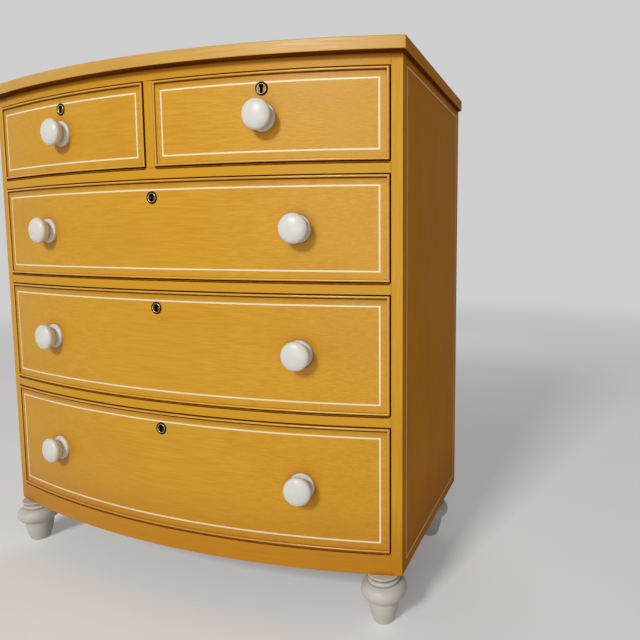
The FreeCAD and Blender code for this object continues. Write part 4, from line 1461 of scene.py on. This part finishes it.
# Each lamp's name, its place, the point that it shines at and its size
LAMPS = (("key", (-0.55, -5.20, 3.70), (0.10, -0.20, 0.60), 1.2),
         ("window", (0.30, -3.00, 0.60), (0.15, -0.20, 0.30), 1.0),
         ("fill", (1.30, -2.50, 0.70), (0.10, -0.20, 0.60), 1.0),
         ("back", (-1.00, 2.70, 2.00), (0.00, 0.00, 0.50), 1.8))
# Half the floor's width, and between which distances from the chest it fades into the backdrop
FLOOR_REACH = 14.0
FADE_FROM, FADE_TO = 0.8, 6.0
WHITE, BLACK = (1.0, 1.0, 1.0, 1.0), (0.0, 0.0, 0.0)


def seen_rays(work):
    """1 for rays that show the background: the camera's, and those in gloss and glass."""
    rays = work.node("ShaderNodeLightPath").outputs
    gloss = work.maths("MAXIMUM", rays["Is Glossy Ray"], rays["Is Transmission Ray"])
    return work.maths("MAXIMUM", rays["Is Camera Ray"], gloss)


def make_floor(pale):
    """Plain pale floor that fades into the backdrop, paler to the eye than the light that it throws back."""
    flat = bmesh.new()
    bmesh.ops.create_grid(flat, x_segments=1, y_segments=1, size=FLOOR_REACH)
    floor = new_piece("floor", flat)
    finish = Finish("floor_paint", 0.85, 0.0)
    place = finish.object_place()
    mottle = finish.noise(place, 1.4, 3.0)
    plain, dull, dim = [[value * share for value in colours().floor] for share in (1.0, 0.97, 0.7)]
    seen = finish.mix(finish.spread(mottle, 0.3, 0.7), plain, dull)
    reach = finish.node("ShaderNodeVectorMath", operation="LENGTH")
    finish.link(place, reach.inputs[0])
    far = finish.spread(reach.outputs["Value"], FADE_FROM, FADE_TO)
    glow = finish.spread(reach.outputs["Value"], FADE_FROM, FADE_TO, 0.16, pale)
    rays = seen_rays(finish)
    finish.shader.inputs["Emission Color"].default_value = WHITE
    finish.link(finish.maths("MULTIPLY", glow, rays), finish.shader.inputs["Emission Strength"])
    seen = finish.mix(far, seen, BLACK)
    floor.data.materials.append(finish.done(finish.mix(rays, dim, seen)))


def make_world(strength, pale):
    """Even light all round, seen as a pale background by the camera and in reflections."""
    world = bpy.data.worlds.new("studio")
    bpy.context.scene.world = world
    world.use_nodes = True
    work = NodeWork(world.node_tree)
    background = work.tree.nodes["Background"]
    background.inputs["Color"].default_value = WHITE
    level = work.maths("MULTIPLY_ADD", seen_rays(work), pale - strength, strength)
    work.link(level, background.inputs["Strength"])


def make_lamp(name, place, target, size, power):
    """Square soft light aimed at a point."""
    lamp = bpy.data.lights.new(name, "AREA")
    lamp.shape = "SQUARE"
    lamp.size = size
    lamp.energy = power
    holder = bpy.data.objects.new(name, lamp)
    bpy.context.scene.collection.objects.link(holder)
    holder.location = place
    holder.rotation_euler = (Vector(target) - Vector(place)).to_track_quat("-Z", "Y").to_euler()


class CHEST_OT_stage(bpy.types.Operator):
    """Set the floor, the light and the camera"""
    bl_idname = "chest.stage"
    bl_label = "Stage"

    def execute(self, context):
        stage = context.scene.chest_stage
        make_floor(stage.backdrop)
        make_world(stage.ambient, stage.backdrop)
        for name, place, target, size in LAMPS:
            make_lamp(name, place, target, size, getattr(stage, name + "_power"))
        view = bpy.data.cameras.new("camera")
        view.sensor_fit = "HORIZONTAL"
        view.sensor_width = 36.0
        for setting in ("lens", "shift_x", "shift_y"):
            setattr(view, setting, getattr(stage, setting))
        camera = bpy.data.objects.new("camera", view)
        context.scene.collection.objects.link(camera)
        camera.location = stage.camera_place
        camera.rotation_euler = stage.camera_turn
        context.scene.camera = camera
        context.scene.view_settings.view_transform = "Standard"
        return {"FINISHED"}


# ---- add-on --------------------------------------------------------------------------------------

GROUPS = (("chest_sizes", ChestSizes), ("chest_colours", ChestColours), ("chest_stage", ChestStage))
OPERATORS = (CHEST_OT_carcass_boards, CHEST_OT_drawer_fronts, CHEST_OT_painted_lines, CHEST_OT_drawer_boxes,
             CHEST_OT_knobs, CHEST_OT_keyhole_plates, CHEST_OT_locks, CHEST_OT_feet, CHEST_OT_bare_boards,
             CHEST_OT_stage)


class CHEST_PT_panel(bpy.types.Panel):
    """Lists the chest's steps, sizes and colours"""
    bl_label = "Chest of Drawers"
    bl_idname = "CHEST_PT_panel"
    bl_space_type = "VIEW_3D"
    bl_region_type = "UI"
    bl_category = "Chest"

    def draw(self, context):
        for operator in OPERATORS:
            self.layout.operator(operator.bl_idname)
        for name, group in GROUPS:
            box = self.layout.box()
            for key in group.__annotations__:
                box.prop(getattr(context.scene, name), key)


def register():
    """Register the groups, operators and panel."""
    for name, group in GROUPS:
        bpy.utils.register_class(group)
        setattr(bpy.types.Scene, name, PointerProperty(type=group))
    for operator in OPERATORS:
        bpy.utils.register_class(operator)
    bpy.utils.register_class(CHEST_PT_panel)


def unregister():
    """Undo register."""
    bpy.utils.unregister_class(CHEST_PT_panel)
    for operator in reversed(OPERATORS):
        bpy.utils.unregister_class(operator)
    for name, group in reversed(GROUPS):
        delattr(bpy.types.Scene, name)
        bpy.utils.unregister_class(group)


def main():
    """Build everything in order."""
    register()
    for operator in OPERATORS:
        group, name = operator.bl_idname.split(".")
        getattr(getattr(bpy.ops, group), name)()


if __name__ == "__main__":
    main()
